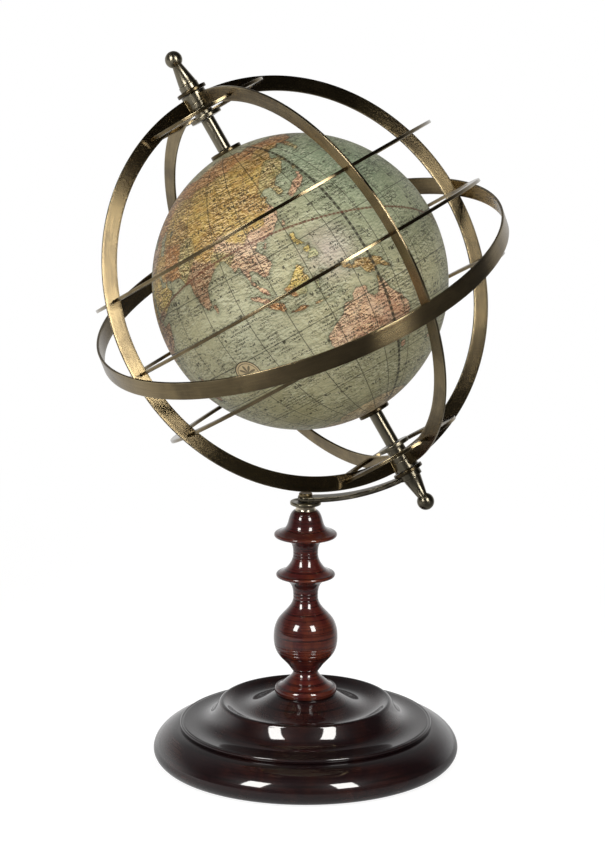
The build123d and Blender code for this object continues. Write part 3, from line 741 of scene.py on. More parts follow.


# Coasts in whole tenths of a degree, coarsely drawn.
LANDS = read_places("""
eurasia -90 430 -90 385 -60 365 -20 370 0 395 30 420 60 432 90 443 105 430 125 415 157 400 160 380 170 403 185 402
155 420 135 437 125 453 140 453 170 430 195 415 205 390 220 367 235 380 230 403 260 407 270 385 280 367 310 365 360
363 355 335 343 313 325 312 326 298 342 278 350 295 370 260 390 215 425 165 435 127 480 140 520 160 555 178 588 205
598 225 570 240 564 262 545 242 515 245 505 270 485 298 505 300 530 270 570 270 615 252 665 250 685 235 700 210 728
205 730 170 748 130 765 90 776 80 798 103 802 135 803 155 830 177 870 210 900 220 920 220 940 180 945 160 970 170
980 130 985 90 1003 60 1015 28 1036 14 1034 40 1010 70 998 95 1000 134 1015 127 1030 107 1050 87 1070 105 1093 120
1085 155 1060 190 1080 216 1103 213 1135 223 1170 236 1195 260 1218 290 1210 320 1193 350 1225 370 1185 382 1215 405
1250 397 1265 360 1265 345 1293 355 1290 380 1277 400 1310 428 1355 443 1403 485 1410 525 1375 540 1430 593 1510 592
1565 615 1600 610 1565 570 1563 515 1600 530 1625 570 1640 600 1705 600 1770 625 1870 645 1900 660 1820 687 1750 697
1600 697 1500 715 1400 725 1300 710 1270 730 1130 738 1050 775 950 760 820 730 730 715 720 685 680 685 600 690 540
685 450 680 435 663 400 647 350 643 340 666 410 668 330 693 250 710 180 695 130 660 80 627 53 605 65 580 85 582 108
592 120 565 143 555 163 568 188 598 172 615 215 645 240 658 253 650 215 615 230 599 295 600 240 592 240 575 213 570
198 545 140 540 108 542 105 573 83 560 85 540 50 530 20 510 -15 495 -45 483 -13 460 -17 434;
africa -60 358 -20 352 30 368 100 373 110 340 150 324 190 303 205 327 250 316 290 309 323 312 325 299 350 250 372
210 375 185 395 155 430 123 440 105 510 118 480 50 425 -10 395 -50 407 -110 405 -155 355 -200 353 -240 328 -260 324
-285 280 -330 250 -340 200 -348 183 -335 175 -305 150 -265 143 -220 118 -175 137 -120 128 -70 95 -25 95 35 83 45 43
63 -20 48 -75 44 -130 85 -150 110 -173 147 -162 190 -170 215 -145 262 -110 287 -97 310 -70 338;
madagascar 493 -120 503 -155 475 -248 450 -255 434 -220 444 -170 470 -150;
australia 1142 -220 1135 -255 1150 -310 1152 -343 1180 -350 1235 -339 1265 -323 1312 -315 1342 -328 1370 -353 1380
-335 1385 -357 1408 -380 1448 -382 1465 -390 1500 -373 1513 -335 1533 -290 1532 -255 1508 -234 1470 -195 1458 -165
1445 -142 1426 -108 1415 -140 1408 -175 1385 -168 1356 -148 1368 -122 1327 -113 1305 -127 1295 -150 1265 -140 1235
-170 1218 -185 1170 -207;
tasmania 1448 -408 1482 -408 1478 -433 1460 -434;
north_isle 1728 -345 1755 -368 1784 -378 1770 -395 1752 -415 1738 -392 1748 -375;
south_isle 1728 -406 1742 -416 1710 -445 1705 -460 1685 -466 1666 -458 1700 -430 1715 -416;
new_guinea 1310 -8 1340 -10 1352 -33 1380 -17 1410 -26 1445 -39 1478 -60 1472 -70 1506 -104 1470 -95 1440 -77 1430
-92 1390 -81 1380 -55 1337 -38 1320 -28;
borneo 1090 15 1113 25 1135 38 1168 70 1190 52 1177 35 1188 10 1165 -20 1160 -40 1130 -32 1102 -27 1090 0;
sumatra 953 56 980 42 1005 22 1037 -10 1060 -32 1058 -58 1045 -58 1010 -25 987 16 958 40;
java 1053 -67 1085 -66 1110 -65 1144 -78 1144 -87 1100 -81 1065 -74;
flores 1152 -83 1180 -83 1228 -83 1220 -89 1170 -90;
timor 1236 -102 1270 -84 1255 -94;
celebes 1193 -33 1200 7 1250 15 1243 4 1205 3 1212 -10 1232 -10 1216 -20 1225 -45 1210 -30 1203 -56 1195 -55;
luzon 1202 160 1206 185 1222 184 1216 158 1240 127 1210 138;
mindanao 1220 70 1235 87 1255 98 1264 70 1254 58 1240 70;
visayas 1220 118 1232 115 1252 123 1250 102 1230 93 1220 105;
honshu 1310 340 1330 355 1368 372 1395 385 1410 414 1420 395 1408 360 1390 348 1358 336 1325 340;
hokkaido 1402 420 1417 454 1453 434 1432 420;
kyushu 1298 332 1315 338 1344 342 1335 329 1314 314 1302 313;
sakhalin 1420 460 1420 500 1428 542 1445 490 1430 470;
taiwan 1202 228 1215 252 1213 228;
hainan 1087 190 1108 200 1098 183;
ceylon 798 80 802 97 818 75 807 60;
britain -53 501 10 512 15 527 -18 555 -20 576 -50 586 -55 560 -30 540 -45 525 -30 514;
ireland -100 520 -62 523 -60 545 -80 552 -98 538;
iceland -240 655 -200 660 -150 660 -140 648 -190 634 -225 640;
greenland -450 600 -520 645 -540 690 -580 750 -700 780 -620 815 -350 834 -180 805 -200 740 -250 703 -330 680 -400
648;
north_america -1680 657 -1620 665 -1660 685 -1565 713 -1410 697 -1280 703 -1150 685 -1080 680 -960 683 -930 715 -850
695 -870 670 -940 615 -945 590 -925 570 -870 560 -823 550 -800 513 -790 540 -770 570 -780 623 -700 610 -650 590 -615
565 -560 523 -600 502 -660 500 -700 472 -650 490 -645 465 -610 460 -640 446 -660 437 -670 450 -700 436 -705 417 -740
406 -755 380 -760 350 -810 315 -802 270 -807 253 -827 280 -840 300 -895 300 -940 295 -973 275 -977 225 -958 187 -910
186 -900 210 -870 214 -883 175 -887 158 -833 150 -837 110 -815 90 -795 95 -773 85 -780 75 -800 74 -830 85 -857 100
-875 130 -920 145 -950 160 -1010 175 -1055 203 -1065 235 -1095 267 -1130 310 -1147 315 -1120 270 -1096 230 -1120 250
-1150 280 -1171 325 -1206 345 -1225 377 -1242 405 -1240 463 -1230 488 -1277 510 -1303 547 -1345 580 -1400 598 -1470
608 -1515 593 -1540 585 -1600 560 -1648 546 -1580 586 -1620 600 -1655 620 -1610 643;
baffin -620 665 -680 630 -770 645 -730 675 -800 700 -860 735 -770 728 -680 700;
victoria -1170 695 -1060 690 -1050 730 -1180 735;
banks -1250 720 -1230 743 -1165 738 -1190 725;
ellesmere -800 765 -880 780 -920 805 -720 830 -620 823 -750 785;
cuba -848 220 -820 231 -770 217 -742 202 -775 199;
hispaniola -743 185 -730 199 -685 187 -715 178;
south_america -773 85 -755 108 -718 122 -700 118 -640 104 -618 107 -590 80 -570 60 -515 43 -500 5 -443 -27 -395 -30
-352 -55 -349 -85 -388 -130 -392 -180 -410 -220 -445 -230 -485 -260 -488 -285 -520 -325 -545 -348 -570 -345 -582
-340 -570 -365 -620 -390 -650 -410 -653 -450 -685 -500 -685 -525 -660 -550 -710 -540 -750 -490 -735 -420 -735 -370
-715 -300 -703 -230 -704 -184 -760 -140 -790 -80 -813 -47 -800 -15 -800 10 -780 30 -775 65
""", 10)
LAKES = read_places("""
black_sea 280 415 290 450 315 465 350 452 390 470 380 448 415 425 410 412 360 415 330 420 302 412;
caspian 500 450 530 468 530 420 540 395 535 370 500 375 495 405 475 435;
great_lakes -920 468 -880 485 -845 470 -800 455 -765 440 -790 428 -830 415 -860 418 -875 420 -875 445 -850 455;
aral 585 440 600 465 615 450 600 435
""", 10)
# Edge of the southern continent.
SOUTHERN_EDGE = read_places("""
edge -180 -78 -165 -78 -150 -77 -135 -74.5 -120 -74 -105 -73.5 -95 -72.5 -75 -72 -68 -67.5
-60 -63.5 -59 -69 -57 -75 -45 -78 -30 -77 -20 -73 -5 -70.5 15 -69.5 35 -69 50 -66.5 65 -66.5 75 -68.5 85 -66 110 -65
130 -65.5 145 -66.5 160 -69 170 -71 166 -77 180 -78
""")["edge"]
# Washes of colour on the land, and the places that they spread from.
WASHES = {
    "ochre": (0.44, 0.29, 0.085), "orange": (0.42, 0.20, 0.065), "gold": (0.50, 0.35, 0.095),
    "pink": (0.64, 0.45, 0.32), "rose": (0.56, 0.34, 0.235), "brown": (0.37, 0.225, 0.140),
    "olive": (0.34, 0.31, 0.13), "yellow": (0.60, 0.47, 0.13), "sage": (0.34, 0.38, 0.21), "cream": (0.62, 0.52, 0.33),
}
COUNTRIES = read_places("""
orange 40 58 62 62 85 64 105 67 127 66 150 66 170 66 65 33 36 47 -108 22 22 -20 -77 -9 5 21 14 64 47 -19 105 -2 111
-8;
gold 76 47 92 46 108 48 98 38 112 33 104 29 118 49 86 40 -12 20 19 6 -150 64 -60 -6 30 25 60 53 80 54 100 56;
ochre 118 58 136 60 70 42 116 37 88 30 3 47 -116 44 -50 -9 28 13 136 -4 -67 -40 122 -30 48 32 140 -7;
pink 102 17 108 14 110 24 115 26 -80 50 -96 38 -106 57 -70 -24 25 -30 137 -21 122 -25 129 -17 116 -24 35 39 170 -43
-42 -19 12 24 96 25 121 30;
rose 146 -27 143 -19 101 4 137 36 -83 35 37 1 -55 3 -3 54 147 -35 130 -30 -73 4;
brown 78 24 75 18 79 14 82 20 -98 27 44 8 18 49 -65 9 23 44;
olive 127 47 145 51 93 22 -89 44 10 51 -56 -15 34 -15 -6 31 73 31 126 40;
yellow 46 24 114 4 121 17 -121 50 -86 14 -4 40 26 -4 175 -38 13 43 -71 -33 -64 52;
sage 124 8 115 -1 -152 59 -77 41 -62 -30 0 8 17 14 40 -5 -95 63 120 -3;
cream -42 73 -19 65 -75 72 -112 71 0 -80 90 -82 55 79
""")
# Faded green-grey sea, bluer to the north-east, browner to the south: place, reach in degrees, colour, share. Besides
# the print's own hues, the dark teal round (168, 30) and (150, 48) paints shade along the ball's right edge as the
# camera sees it, and the pale washes round (88, -8) and (130, 6) paint light and a reflection near the middle of the
# side that faces it.
SEA = (0.430, 0.415, 0.262)
SEA_TINTS_AND_LIGHT = (
    ((168.0, 30.0), 46, (0.210, 0.300, 0.205), 0.9), ((150.0, 48.0), 22, (0.230, 0.310, 0.210), 0.6),
    ((80.0, -52.0), 34, (0.330, 0.310, 0.165), 0.8), ((140.0, -56.0), 30, (0.270, 0.260, 0.140), 0.7),
    ((88.0, -8.0), 26, (0.470, 0.480, 0.350), 0.8), ((130.0, 6.0), 13, (0.450, 0.370, 0.340), 0.8),
    ((-30.0, 20.0), 50, (0.300, 0.340, 0.230), 0.6), ((-140.0, -10.0), 60, (0.330, 0.370, 0.250), 0.6),
)
# In degrees: the turn from the printed zero meridian to the arm's side, and what is printed where.
MAP_TURN = -187.0
NET_STEP, GORE_STEP, GORE_SHIFT = 15.0, 30.0, 7.5
BOLD_MERIDIAN = -43.6
ECLIPTIC_SLANT, ECLIPTIC_NODE = 23.4, -2.0
VIGNETTE = (-110.5, -19.5)
BATCH = 4000                    # places measured at a time
FAR = 12                        # degrees from a coast or border, beyond which it no longer matters


def on_ball(lon, lat):
    lon, lat = np.radians(lon), np.radians(lat)
    return np.stack([np.cos(lat) * np.cos(lon), np.cos(lat) * np.sin(lon), np.sin(lat)], -1)


def inside(points, lon, lat):
    """Which places lie inside an outline, longitudes taken round the world."""
    result = np.zeros(len(lon), bool)
    (west, south), (east, north) = points.min(0), points.max(0)
    for around in (-360, 0, 360):
        x = lon + around
        near = (x >= west) & (x <= east) & (lat >= south) & (lat <= north)
        px, py = x[near], lat[near]
        hit = np.zeros(len(px), bool)
        for (ax, ay), (bx, by) in zip(points, np.roll(points, -1, 0)):
            if ay != by:
                hit ^= ((ay > py) != (by > py)) & (px < (bx - ax) * (py - ay) / (by - ay) + ax)
        result[near] |= hit
    return result


def coast_distance(spots, lon, lat):
    """Degrees to the nearest coast, above zero on land."""
    land = np.zeros(len(lon), bool)
    for points in LANDS.values():
        land |= inside(points, lon, lat)
    for points in LAKES.values():
        land &= ~inside(points, lon, lat)
    land |= lat < np.interp(lon, *SOUTHERN_EDGE.T)
    outlines = [*LANDS.values(), *LAKES.values()]
    starts = np.concatenate([*outlines, SOUTHERN_EDGE[:-1]])
    ends = np.concatenate([*(np.roll(points, -1, 0) for points in outlines), SOUTHERN_EDGE[1:]])
    a, b = on_ball(*starts.T), on_ball(*ends.T)
    ab = b - a
    long, along = np.maximum((ab ** 2).sum(1), 1e-12), (a * ab).sum(1)
    best = np.empty(len(spots))
    for i in range(0, len(spots), BATCH):
        p = spots[i:i + BATCH]
        share = np.clip((p @ ab.T - along) / long, 0, 1)
        square = ((p ** 2).sum(1)[:, None] + (a ** 2).sum(1) + share ** 2 * long
                  + 2 * share * along - 2 * p @ a.T - 2 * share * (p @ ab.T))
        best[i:i + BATCH] = np.sqrt(np.maximum(square.min(1), 0))
    return np.where(land, 1, -1) * np.degrees(best)


def country_washes(spots):
    """The wash of colour at each place, and the distance to the nearest border."""
    seeds = np.concatenate([on_ball(*places.T) for places in COUNTRIES.values()])
    tones = np.array([WASHES[wash] for wash, places in COUNTRIES.items() for _ in places])
    x, y, z = spots.T
    # borders wander
    moved = spots + 0.035 * np.stack([np.sin(9 * y + 5 * z) + 0.5 * np.sin(31 * z + 2),
                                      np.sin(11 * z + 4 * x) + 0.5 * np.sin(27 * x + 1),
                                      np.sin(8 * x + 6 * y) + 0.5 * np.sin(29 * y + 3)], -1)
    moved /= np.linalg.norm(moved, axis=1, keepdims=True)
    gaps = np.sqrt(np.maximum(2 - 2 * moved @ seeds.T, 0))
    order = np.argsort(gaps, 1)[:, :2]
    first, second = np.take_along_axis(gaps, order, 1).T
    return tones[order[:, 0]], np.degrees(second - first) / 2


def sea_tints_and_light(spots):
    """The colour of the sea at each place, its painted shade, light and reflection included."""
    sea = np.tile(np.array(SEA), (len(spots), 1))
    for place, reach, colour, share in SEA_TINTS_AND_LIGHT:
        away = np.degrees(np.arccos(np.clip(spots @ on_ball(*place), -1, 1)))
        k = share * np.clip(1 - away / reach, 0, 1)[:, None] ** 0.8
        sea = sea * (1 - k) + np.array(colour) * k
    return sea


def printed_paper(look):
    """Old printed map paper under varnish. The engraved lines follow the ball's own meridians."""
    material, t, shader = new_material(PAPER)
    spot = t.attribute("chart", "Vector")
    x, y, z = t.parts(spot)
    lat = t.math("ARCSINE", z) * PER_RADIAN
    lon = t.math("ARCTAN2", y, x) * PER_RADIAN
    across = t.math("SQRT", t.max(1.0 - z * z, 0.0001))

    # coasts
    coast = t.attribute("coast") + (t.noise(spot, 13.0, 8.0, 0.66) - 0.5) * (look.coast_detail * 2.2)
    land = t.step(coast, -0.10, 0.10)
    shore = t.step(abs(coast), 0.34, 0.05)
    shallows = t.step(coast, -2.4, -0.3) * (1.0 - land)

    # engraving that runs with the parallels, drawn as a pressed relief with painted shade on one side and a painted
    # highlight on the other
    def pressed(pitch, shift):
        place = t.joined(x * pitch, y * pitch, lat * math.radians(pitch * 1.9))
        sides = (place, t.vector("ADD", place, shift))
        dark, pale = (t.noise(side, 1.0, 3.0, 0.62, 0.6) for side in sides)
        return dark - pale

    relief = pressed(40.0, (0.18, 0.10, 0.42))
    emboss_shade_and_light = relief + pressed(17.0, (0.10, 0.10, 0.30)) * 0.6

    # washes of colour, aged
    blot = t.noise(spot, 5.0, 5.0, 0.6, 0.3)
    mottle = t.noise(spot, 26.0, 5.0, 0.65, 0.2)
    uneven = t.noise(spot, 12.0, 4.0, 0.6, 0.5)
    wash = t.attribute("wash", "Color")
    wash = t.mix(t.step(uneven, 0.42, 0.62, 0.0, 0.55), wash, t.mix(1.0, wash, (0.80, 0.60, 0.46), "MULTIPLY"))
    paper = t.mix(land, t.attribute("sea", "Color"), wash)
    paper = t.mix(shallows * 0.45, paper, (0.115, 0.150, 0.090))
    paper = t.mix(t.step(blot, 0.30, 0.72, 0.0, 0.45), paper, t.mix(0.6, paper, (0.42, 0.38, 0.20), "MULTIPLY"))
    paper = t.mix(t.step(mottle, 0.46, 0.72, 0.0, 0.20), paper, (0.60, 0.58, 0.45))
    # the painted shade and highlight of the engraving are stronger on land, in patches, and over set ranges of
    # longitude and latitude
    dense = t.step(t.noise(spot, 4.0, 3.0, 0.6, 0.4), 0.38, 0.58, 0.40, 1.0)
    busy = t.max(t.step(lon, -66.0, -40.0), t.step(lat, 8.0, 28.0))
    strength = t.between(land, look.sea_emboss_shading, look.land_emboss_shading) * dense * (busy * 0.30 + 1.0)
    strength = t.math("MINIMUM", strength, 1.0)
    # painted shade on the dark side of the engraving, painted highlight on its pale side
    shaded, lit = (t.step(emboss_shade_and_light, *sides) * strength for sides in ((0.005, 0.11), (-0.02, -0.15)))
    paper = t.mix(shaded, paper, t.mix(land, (0.040, 0.046, 0.030), (0.085, 0.038, 0.014)))
    paper = t.mix(lit * 0.72, paper, t.mix(land, (0.66, 0.67, 0.54), (0.88, 0.70, 0.42)))

    # rows of fine marks, in groups like words but with no letters in them
    def rows_of_marks(pitch, width, share):
        height = (lat + 90.0) / pitch
        row, level = t.math("FLOOR", height), t.math("FRACT", height)
        squeeze = t.math("COSINE", (row * pitch - 90.0) * math.radians(1))
        along = lon * squeeze / width + row * 7.31
        dot = t.dice(t.math("FLOOR", along * 3.0), t.math("FLOOR", level * 5.0) + row * 9.0)
        word = t.dice(t.math("FLOOR", along / 4.3), row)
        in_row = t.step(level, 0.16, 0.26) * t.step(level, 0.86, 0.76)
        in_mark = t.step(t.math("FRACT", along), 0.88, 0.78)
        ink = t.math("GREATER_THAN", dot, 0.42) * t.math("LESS_THAN", word, share)
        return ink * (in_row * in_mark)

    groups, far = t.noise(spot, 14.0, 3.0, 0.6), t.noise(spot, 8.0, 3.0, 0.6)
    small, large = rows_of_marks(1.35, 0.85, 0.72), rows_of_marks(2.7, 1.7, 0.42)
    on_land = t.max(small * t.step(groups, 0.40, 0.50), large * t.step(groups, 0.52, 0.44))
    at_sea = t.max(small * t.step(far, 0.50, 0.56), large * t.step(far, 0.47, 0.42))
    marks = t.between(land, at_sea, on_land)

    # lines, their widths in degrees
    def line(distance, width):
        return t.step(distance, width * 0.5 + 0.10, max(width * 0.5 - 0.10, 0.0))

    def off_every(value, every, offset=0.0):
        """Distance to the nearest of the values that come every so many degrees."""
        return abs(t.math("FRACT", (value - offset) / every + 20.5) - 0.5) * every

    net = t.max(line(off_every(lon, NET_STEP, MAP_TURN) * across, 0.34), line(off_every(lat, NET_STEP), 0.34))
    net = net * t.step(abs(lat), 82.0, 79.0)
    border = line(t.attribute("border"), 0.36) * land
    equator = line(abs(lat), 0.9) * t.step(off_every(lon, 2.0), 0.35, 0.65)
    bold = line(abs(lon - BOLD_MERIDIAN) * across, 1.15) * t.step(off_every(lat, 2.4), 0.30, 0.75, 0.55, 1.0)
    slant, node = math.radians(ECLIPTIC_SLANT), math.radians(ECLIPTIC_NODE)
    tilted = (math.sin(node) * math.sin(slant), -math.cos(node) * math.sin(slant), -math.cos(slant))
    from_ecliptic = abs(t.vector("DOT_PRODUCT", spot, tilted)) * PER_RADIAN
    ecliptic = line(from_ecliptic, 0.85) * t.step(off_every(lon, 1.7), 0.22, 0.62, 0.60, 1.0)
    gores = line(off_every(lon, GORE_STEP, MAP_TURN + GORE_SHIFT) * across, 0.22)

    # a round vignette in the southern ocean: two rings and a plain star of points
    eye = on_ball(*VIGNETTE)
    east = np.cross((0, 0, 1), eye)
    east /= np.linalg.norm(east)
    inward, eastward, northward = (
        t.vector("DOT_PRODUCT", spot, tuple(way)) for way in (eye, east, np.cross(eye, east)))
    nearness = t.math("ARCCOSINE", t.math("MINIMUM", inward, 1.0)) * PER_RADIAN
    star = abs(t.math("COSINE", t.math("ARCTAN2", eastward, northward) * 4.0))
    disc = t.step(nearness, 5.5, 5.3)
    rings = t.max(line(abs(nearness - 5.25), 0.55), line(abs(nearness - 4.25), 0.25))
    points = t.step(star * 3.6 - nearness, -0.1, 0.1) * 0.75

    fox = t.step(t.noise(spot, 70.0, 2.0, 0.5), 0.70, 0.78)
    for mask, share, ink in (
            (net, 0.80, look.ink), (border, 0.50, look.red_ink), (shore, 0.55, look.ink),
            (marks, look.lettering, look.ink), (equator, 0.80, look.ink), (bold, 0.96, look.ink),
            (ecliptic, 0.90, look.red_ink), (gores, 0.35, look.ink), (disc, 0.92, (0.58, 0.46, 0.28)),
            (t.max(rings, points) * disc, 1.0, look.ink), (fox, 0.35, (0.20, 0.12, 0.04))):
        paper = t.mix(mask * share, paper, ink)
    grain = t.noise(spot, 240.0, 3.0, 0.6)
    t.fill(shader, {
        "Base Color": t.mix(1.0, paper, (0.84, 0.825, 0.79), "MULTIPLY"), "Roughness": mottle * 0.18 + 0.44,
        "Specular IOR Level": 0.22, "Coat Weight": look.varnish, "Coat Roughness": 0.30,
        "Normal": t.bump(grain - gores * 0.8 + relief * 2.0, 0.22, 0.25 * MM)})
    return material


# ---------------------------------------------------------------- outlines, in millimetres until they are scaled
# Radii of the two discs of the column, and the rounding of their edges.
LOW_DISC, HIGH_DISC, DISC_ROUNDING = 18.3, 19.5, 1.2


def scaled_outline(points):
    return [(p[0] * MM, p[1] * MM, *p[2:]) for p in points]


def foot_outline(s):
    """The lower disc of the base, with the recess for the felt and the pocket for the nut."""
    bore, widest, bottom, top = upright_span("base_foot")
    _, felt, _, felt_top = upright_span("felt_pad")
    _, washer, _, pocket_top = upright_span("tie_rod_washer")
    step = upright_span("base_dish")[1]
    under, middle = widest - s.undercut / MM, bottom + s.widest / MM
    pocket, recess = washer + 1, felt + 0.1
    lower = clamped_spline([(under, bottom), (widest, middle)], (1, 0.12), (0, 1), 26)
    upper = clamped_spline([(widest, middle), (step + 1, top)], (0, 1), (-1, 0.12), 34)
    inner = rounded([(bore, top), (bore, pocket_top), (pocket, pocket_top), (pocket, felt_top),
                     (recess, felt_top), (recess, bottom), (under, bottom)], 0.3)
    return scaled_outline(inner + lower[1:] + upper[1:] + [(step - 1, top), (bore, top)])


def dish_outline(s):
    """The upper disc of the base: a small step, a cove, the rim, the dish and the boss."""
    bore, step, bottom, boss_top = upright_span("base_dish")
    place = node_points("base_dish", UPRIGHT) / MM
    crest_top = place[np.hypot(place[:, 0], place[:, 1]) > 45][:, 2].max()
    step_top, rim = bottom + s.step / MM, step - s.cove / MM
    bowl_radius, bowl_depth, lip = s.dish_width / MM, s.dish / MM, s.lip / MM
    shoulder, boss, crest_start = crest_top - 1.7, 18.8, rim - 0.4
    socket, socket_floor = 8.9, boss_top - 13.1
    # a rounded edge, then a fine groove between the step and the cove
    edge = arc((step, step_top - 0.9), (step - 0.27, step_top - 0.27), (step - 0.9, step_top), 6)
    edge += [(step - inset, step_top + rise)
             for inset, rise in ((1.4, 0), (1.55, -0.28), (1.75, -0.28), (1.9, 0.04))]
    cove = clamped_spline([(step - 2.1, step_top + 0.05), (rim + 8.5, step_top + 2.2), (rim + 4.2, shoulder - 4.0),
                           (rim + lip, shoulder)], (-1, -0.05), (-0.45, 1), 60)
    crest = arc((rim + lip, shoulder), (rim + 0.55 * lip, crest_top - 0.4), (crest_start, crest_top), 10)
    bowl = clamped_spline([(crest_start, crest_top), (rim - bowl_radius / 3, crest_top - 0.62 * bowl_depth),
                           (rim - bowl_radius, crest_top - bowl_depth), (boss, boss_top)], (-1, -0.3), (-1, 0.55), 60)
    line = [(bore, bottom), (step - 0.05, bottom)] + edge + cove[1:] + crest[1:] + bowl[1:]
    return scaled_outline(line + [(socket, boss_top), (socket, socket_floor), (bore, socket_floor)])


def column_outline(s):
    """The turned column, foot bead to dome."""
    bore, _, bottom, top = upright_span("column")
    boss_top = upright_span("base_dish")[3]
    neck, bulb, width = s.neck / MM, s.bulb / MM, s.groove / MM
    tenon, foot = 8.8, 18.5
    bead = boss_top + 4.6
    low_neck, bulb_middle, mid_neck, low_disc, high_neck, high_disc = (
        bead + rise for rise in (9.9, 32.0, 57.4, 71.9, 85.3, 97.5))

    def disc(level, radius):
        """The rounded and slightly worn edge of one of the two discs."""
        inner = radius - DISC_ROUNDING
        edge = arc((inner, level - DISC_ROUNDING), (radius, level), (inner, level + DISC_ROUNDING), 10)
        return [(*p, 0.3) for p in edge]

    def swell(low, low_way, middle, high, high_way, *grooves):
        """A hollow curve between two levels, with grooves."""
        curve = clamped_spline([low, middle, high], low_way, high_way, 40)
        return grooved(curve, grooves, width)

    line = rounded([(bore, bottom), (tenon, bottom), (tenon, boss_top), (foot, boss_top)], 0.2)[:-1]
    line += arc((foot, boss_top), (19.4, boss_top + 2.3), (foot, bead), 12)
    line += [(18.0, bead), (17.95, bead - 0.3), (17.7, bead - 0.3), (17.6, bead + 0.02)]
    line += clamped_spline([(17.55, bead + 0.03), (12.155, bead + 3.96), (neck, low_neck)], (-1, 0.3), (0, 1), 40)
    belly = [(bulb * math.cos(math.radians(a)), bulb_middle + 21.7 * math.sin(math.radians(a)))
             for a in (-58, -29, 0, 30, 56)]
    body = clamped_spline([(neck, low_neck)] + belly + [(neck, mid_neck)], (1, 0.9), (0, 1), 110)
    line += grooved(body, [low_neck + 2.0, bulb_middle - 8.4, bulb_middle - 6.4, bulb_middle - 4.4, mid_neck - 1.0],
                    width)
    low_edge, high_edge = LOW_DISC - DISC_ROUNDING, HIGH_DISC - DISC_ROUNDING
    line += swell((neck, mid_neck), (0, 1), (neck + 1.316, mid_neck + 7.975),
                  (low_edge, low_disc - DISC_ROUNDING), (1, 0.2), mid_neck + 1.2, mid_neck + 3.2)
    line += disc(low_disc, LOW_DISC)
    line += swell((low_edge, low_disc + DISC_ROUNDING), (-1, 0.2), (10.1, low_disc + 6.43),
                  (neck, high_neck), (0, 1), high_neck - 2.6, high_neck - 0.6)
    line += swell((neck, high_neck), (0, 1), (neck + 1.484, high_neck + 7.076),
                  (high_edge, high_disc - DISC_ROUNDING), (1, 0.2), high_neck + 1.4)
    line += disc(high_disc, HIGH_DISC)
    line += clamped_spline([(high_edge, high_disc + DISC_ROUNDING), (12.606, high_disc + 4.24),
                            (10.5, high_disc + 9.42), (6.2, top)], (-1, 0.25), (-1, 0.15), 50)
    return scaled_outline(line + [(bore, top)])


# ---------------------------------------------------------------- outlines about the polar axis, in metres
def plain_sleeve(node, rounding, axes=POLAR):
    """A sleeve, disc or washer with its edges broken."""
    inner, outer, low, high = span(node, axes)
    return rounded([(inner, low), (outer, low, rounding), (outer, high, rounding), (inner, high)], 0)


def hub_outline(node, rounding, shoulder_height):
    """A flange next to the globe, a neck and a shoulder under the cage."""
    inner, outer, low, high = span(node)
    near, far, way = near_far(low, high)
    flange, shoulder = near + way * 2.6 * MM, far - way * shoulder_height
    neck, collar, soft = 5.8 * MM, 7.8 * MM, rounding * 1.6
    return rounded([(inner, near), (outer, near, soft), (outer, flange, soft), (neck, flange, rounding),
                    (neck, shoulder, rounding), (collar, shoulder, rounding), (collar, far, rounding),
                    (inner, far)], 0)


def finial_outline(node):
    """A tapered shank that ends in a ball."""
    _, base, low, high = span(node)
    near, far, way = near_far(low, high)
    ball, neck, steps = 5.3 * MM, 3.15 * MM, 24
    middle = far - way * ball
    meets = math.acos(neck / ball)
    line = rounded([(0, near), (base, near, 0.5 * MM), (base - 0.25 * MM, near + way * 1.6 * MM, 0.3 * MM),
                    (neck, middle - way * ball * math.sin(meets))], 0)
    for i in range(1, steps + 1):
        a = -meets + (math.pi / 2 + meets) * i / steps
        line.append((ball * math.cos(a) if i < steps else 0.0, middle + way * ball * math.sin(a)))
    return line


# ---------------------------------------------------------------- finishes by name
FELT, CARD, PAPER = "Pressed felt", "Pasted card", "Printed map paper"


def finish(name):
    """A finish of this globe, made the first time that it is asked for."""
    made = bpy.data.materials.get(name)
    if made:
        return made
    s = settings()
    m, w = s.metal, s.wood
    brushed = {
        "Bronzed brass bands": (m.dark, m.middle, m.rubbed, m, 1.0, 1.0, True),
        "Bronzed brass fittings": (dimmed(m.fitting, 0.6), m.fitting, m.rubbed, m, 0.8, 0.5),
        "Bronzed brass strap": (dimmed(m.fitting, 0.45), dimmed(m.fitting, 0.9), m.rubbed, m),
        "Dark bronze cap": (dimmed(m.dark, 0.5), dimmed(m.middle, 0.35), m.middle, m),
        "Bright brass ferrule": (dimmed(m.ferrule, 0.75), m.ferrule, m.ferrule, m, 0.5, 0.3),
    }
    plain = {
        "Bronzed brass pins": (m.middle, 0.36),
        "Turned brass bush": ((0.60, 0.46, 0.22), 0.30),
        "Zinc plated steel": ((0.50, 0.50, 0.49), 0.34),
    }
    wood = {
        "Mahogany base": (w.base, w.warm, (1, 0.16, 1), w, 0.12),
        "Mahogany column": (w.column, w.warm, (1, 1, 0.12), w, 0.55),
    }
    for maker, looks in ((brushed_metal, brushed), (plain_metal, plain), (lacquered_wood, wood)):
        if name in looks:
            return maker(name, *looks[name])
    return printed_paper(s.map) if name == PAPER else {FELT: felt_cloth, CARD: plain_card}[name]()


def dress(name, *nodes):
    """Give CAD nodes that keep their shape a finish."""
    material = finish(name)
    for node in nodes:
        piece = frame["nodes"][node]
        if not piece.material_slots:
            raise RuntimeError(f"{node} has no material slot")
        for slot in piece.material_slots:
            slot.material = material


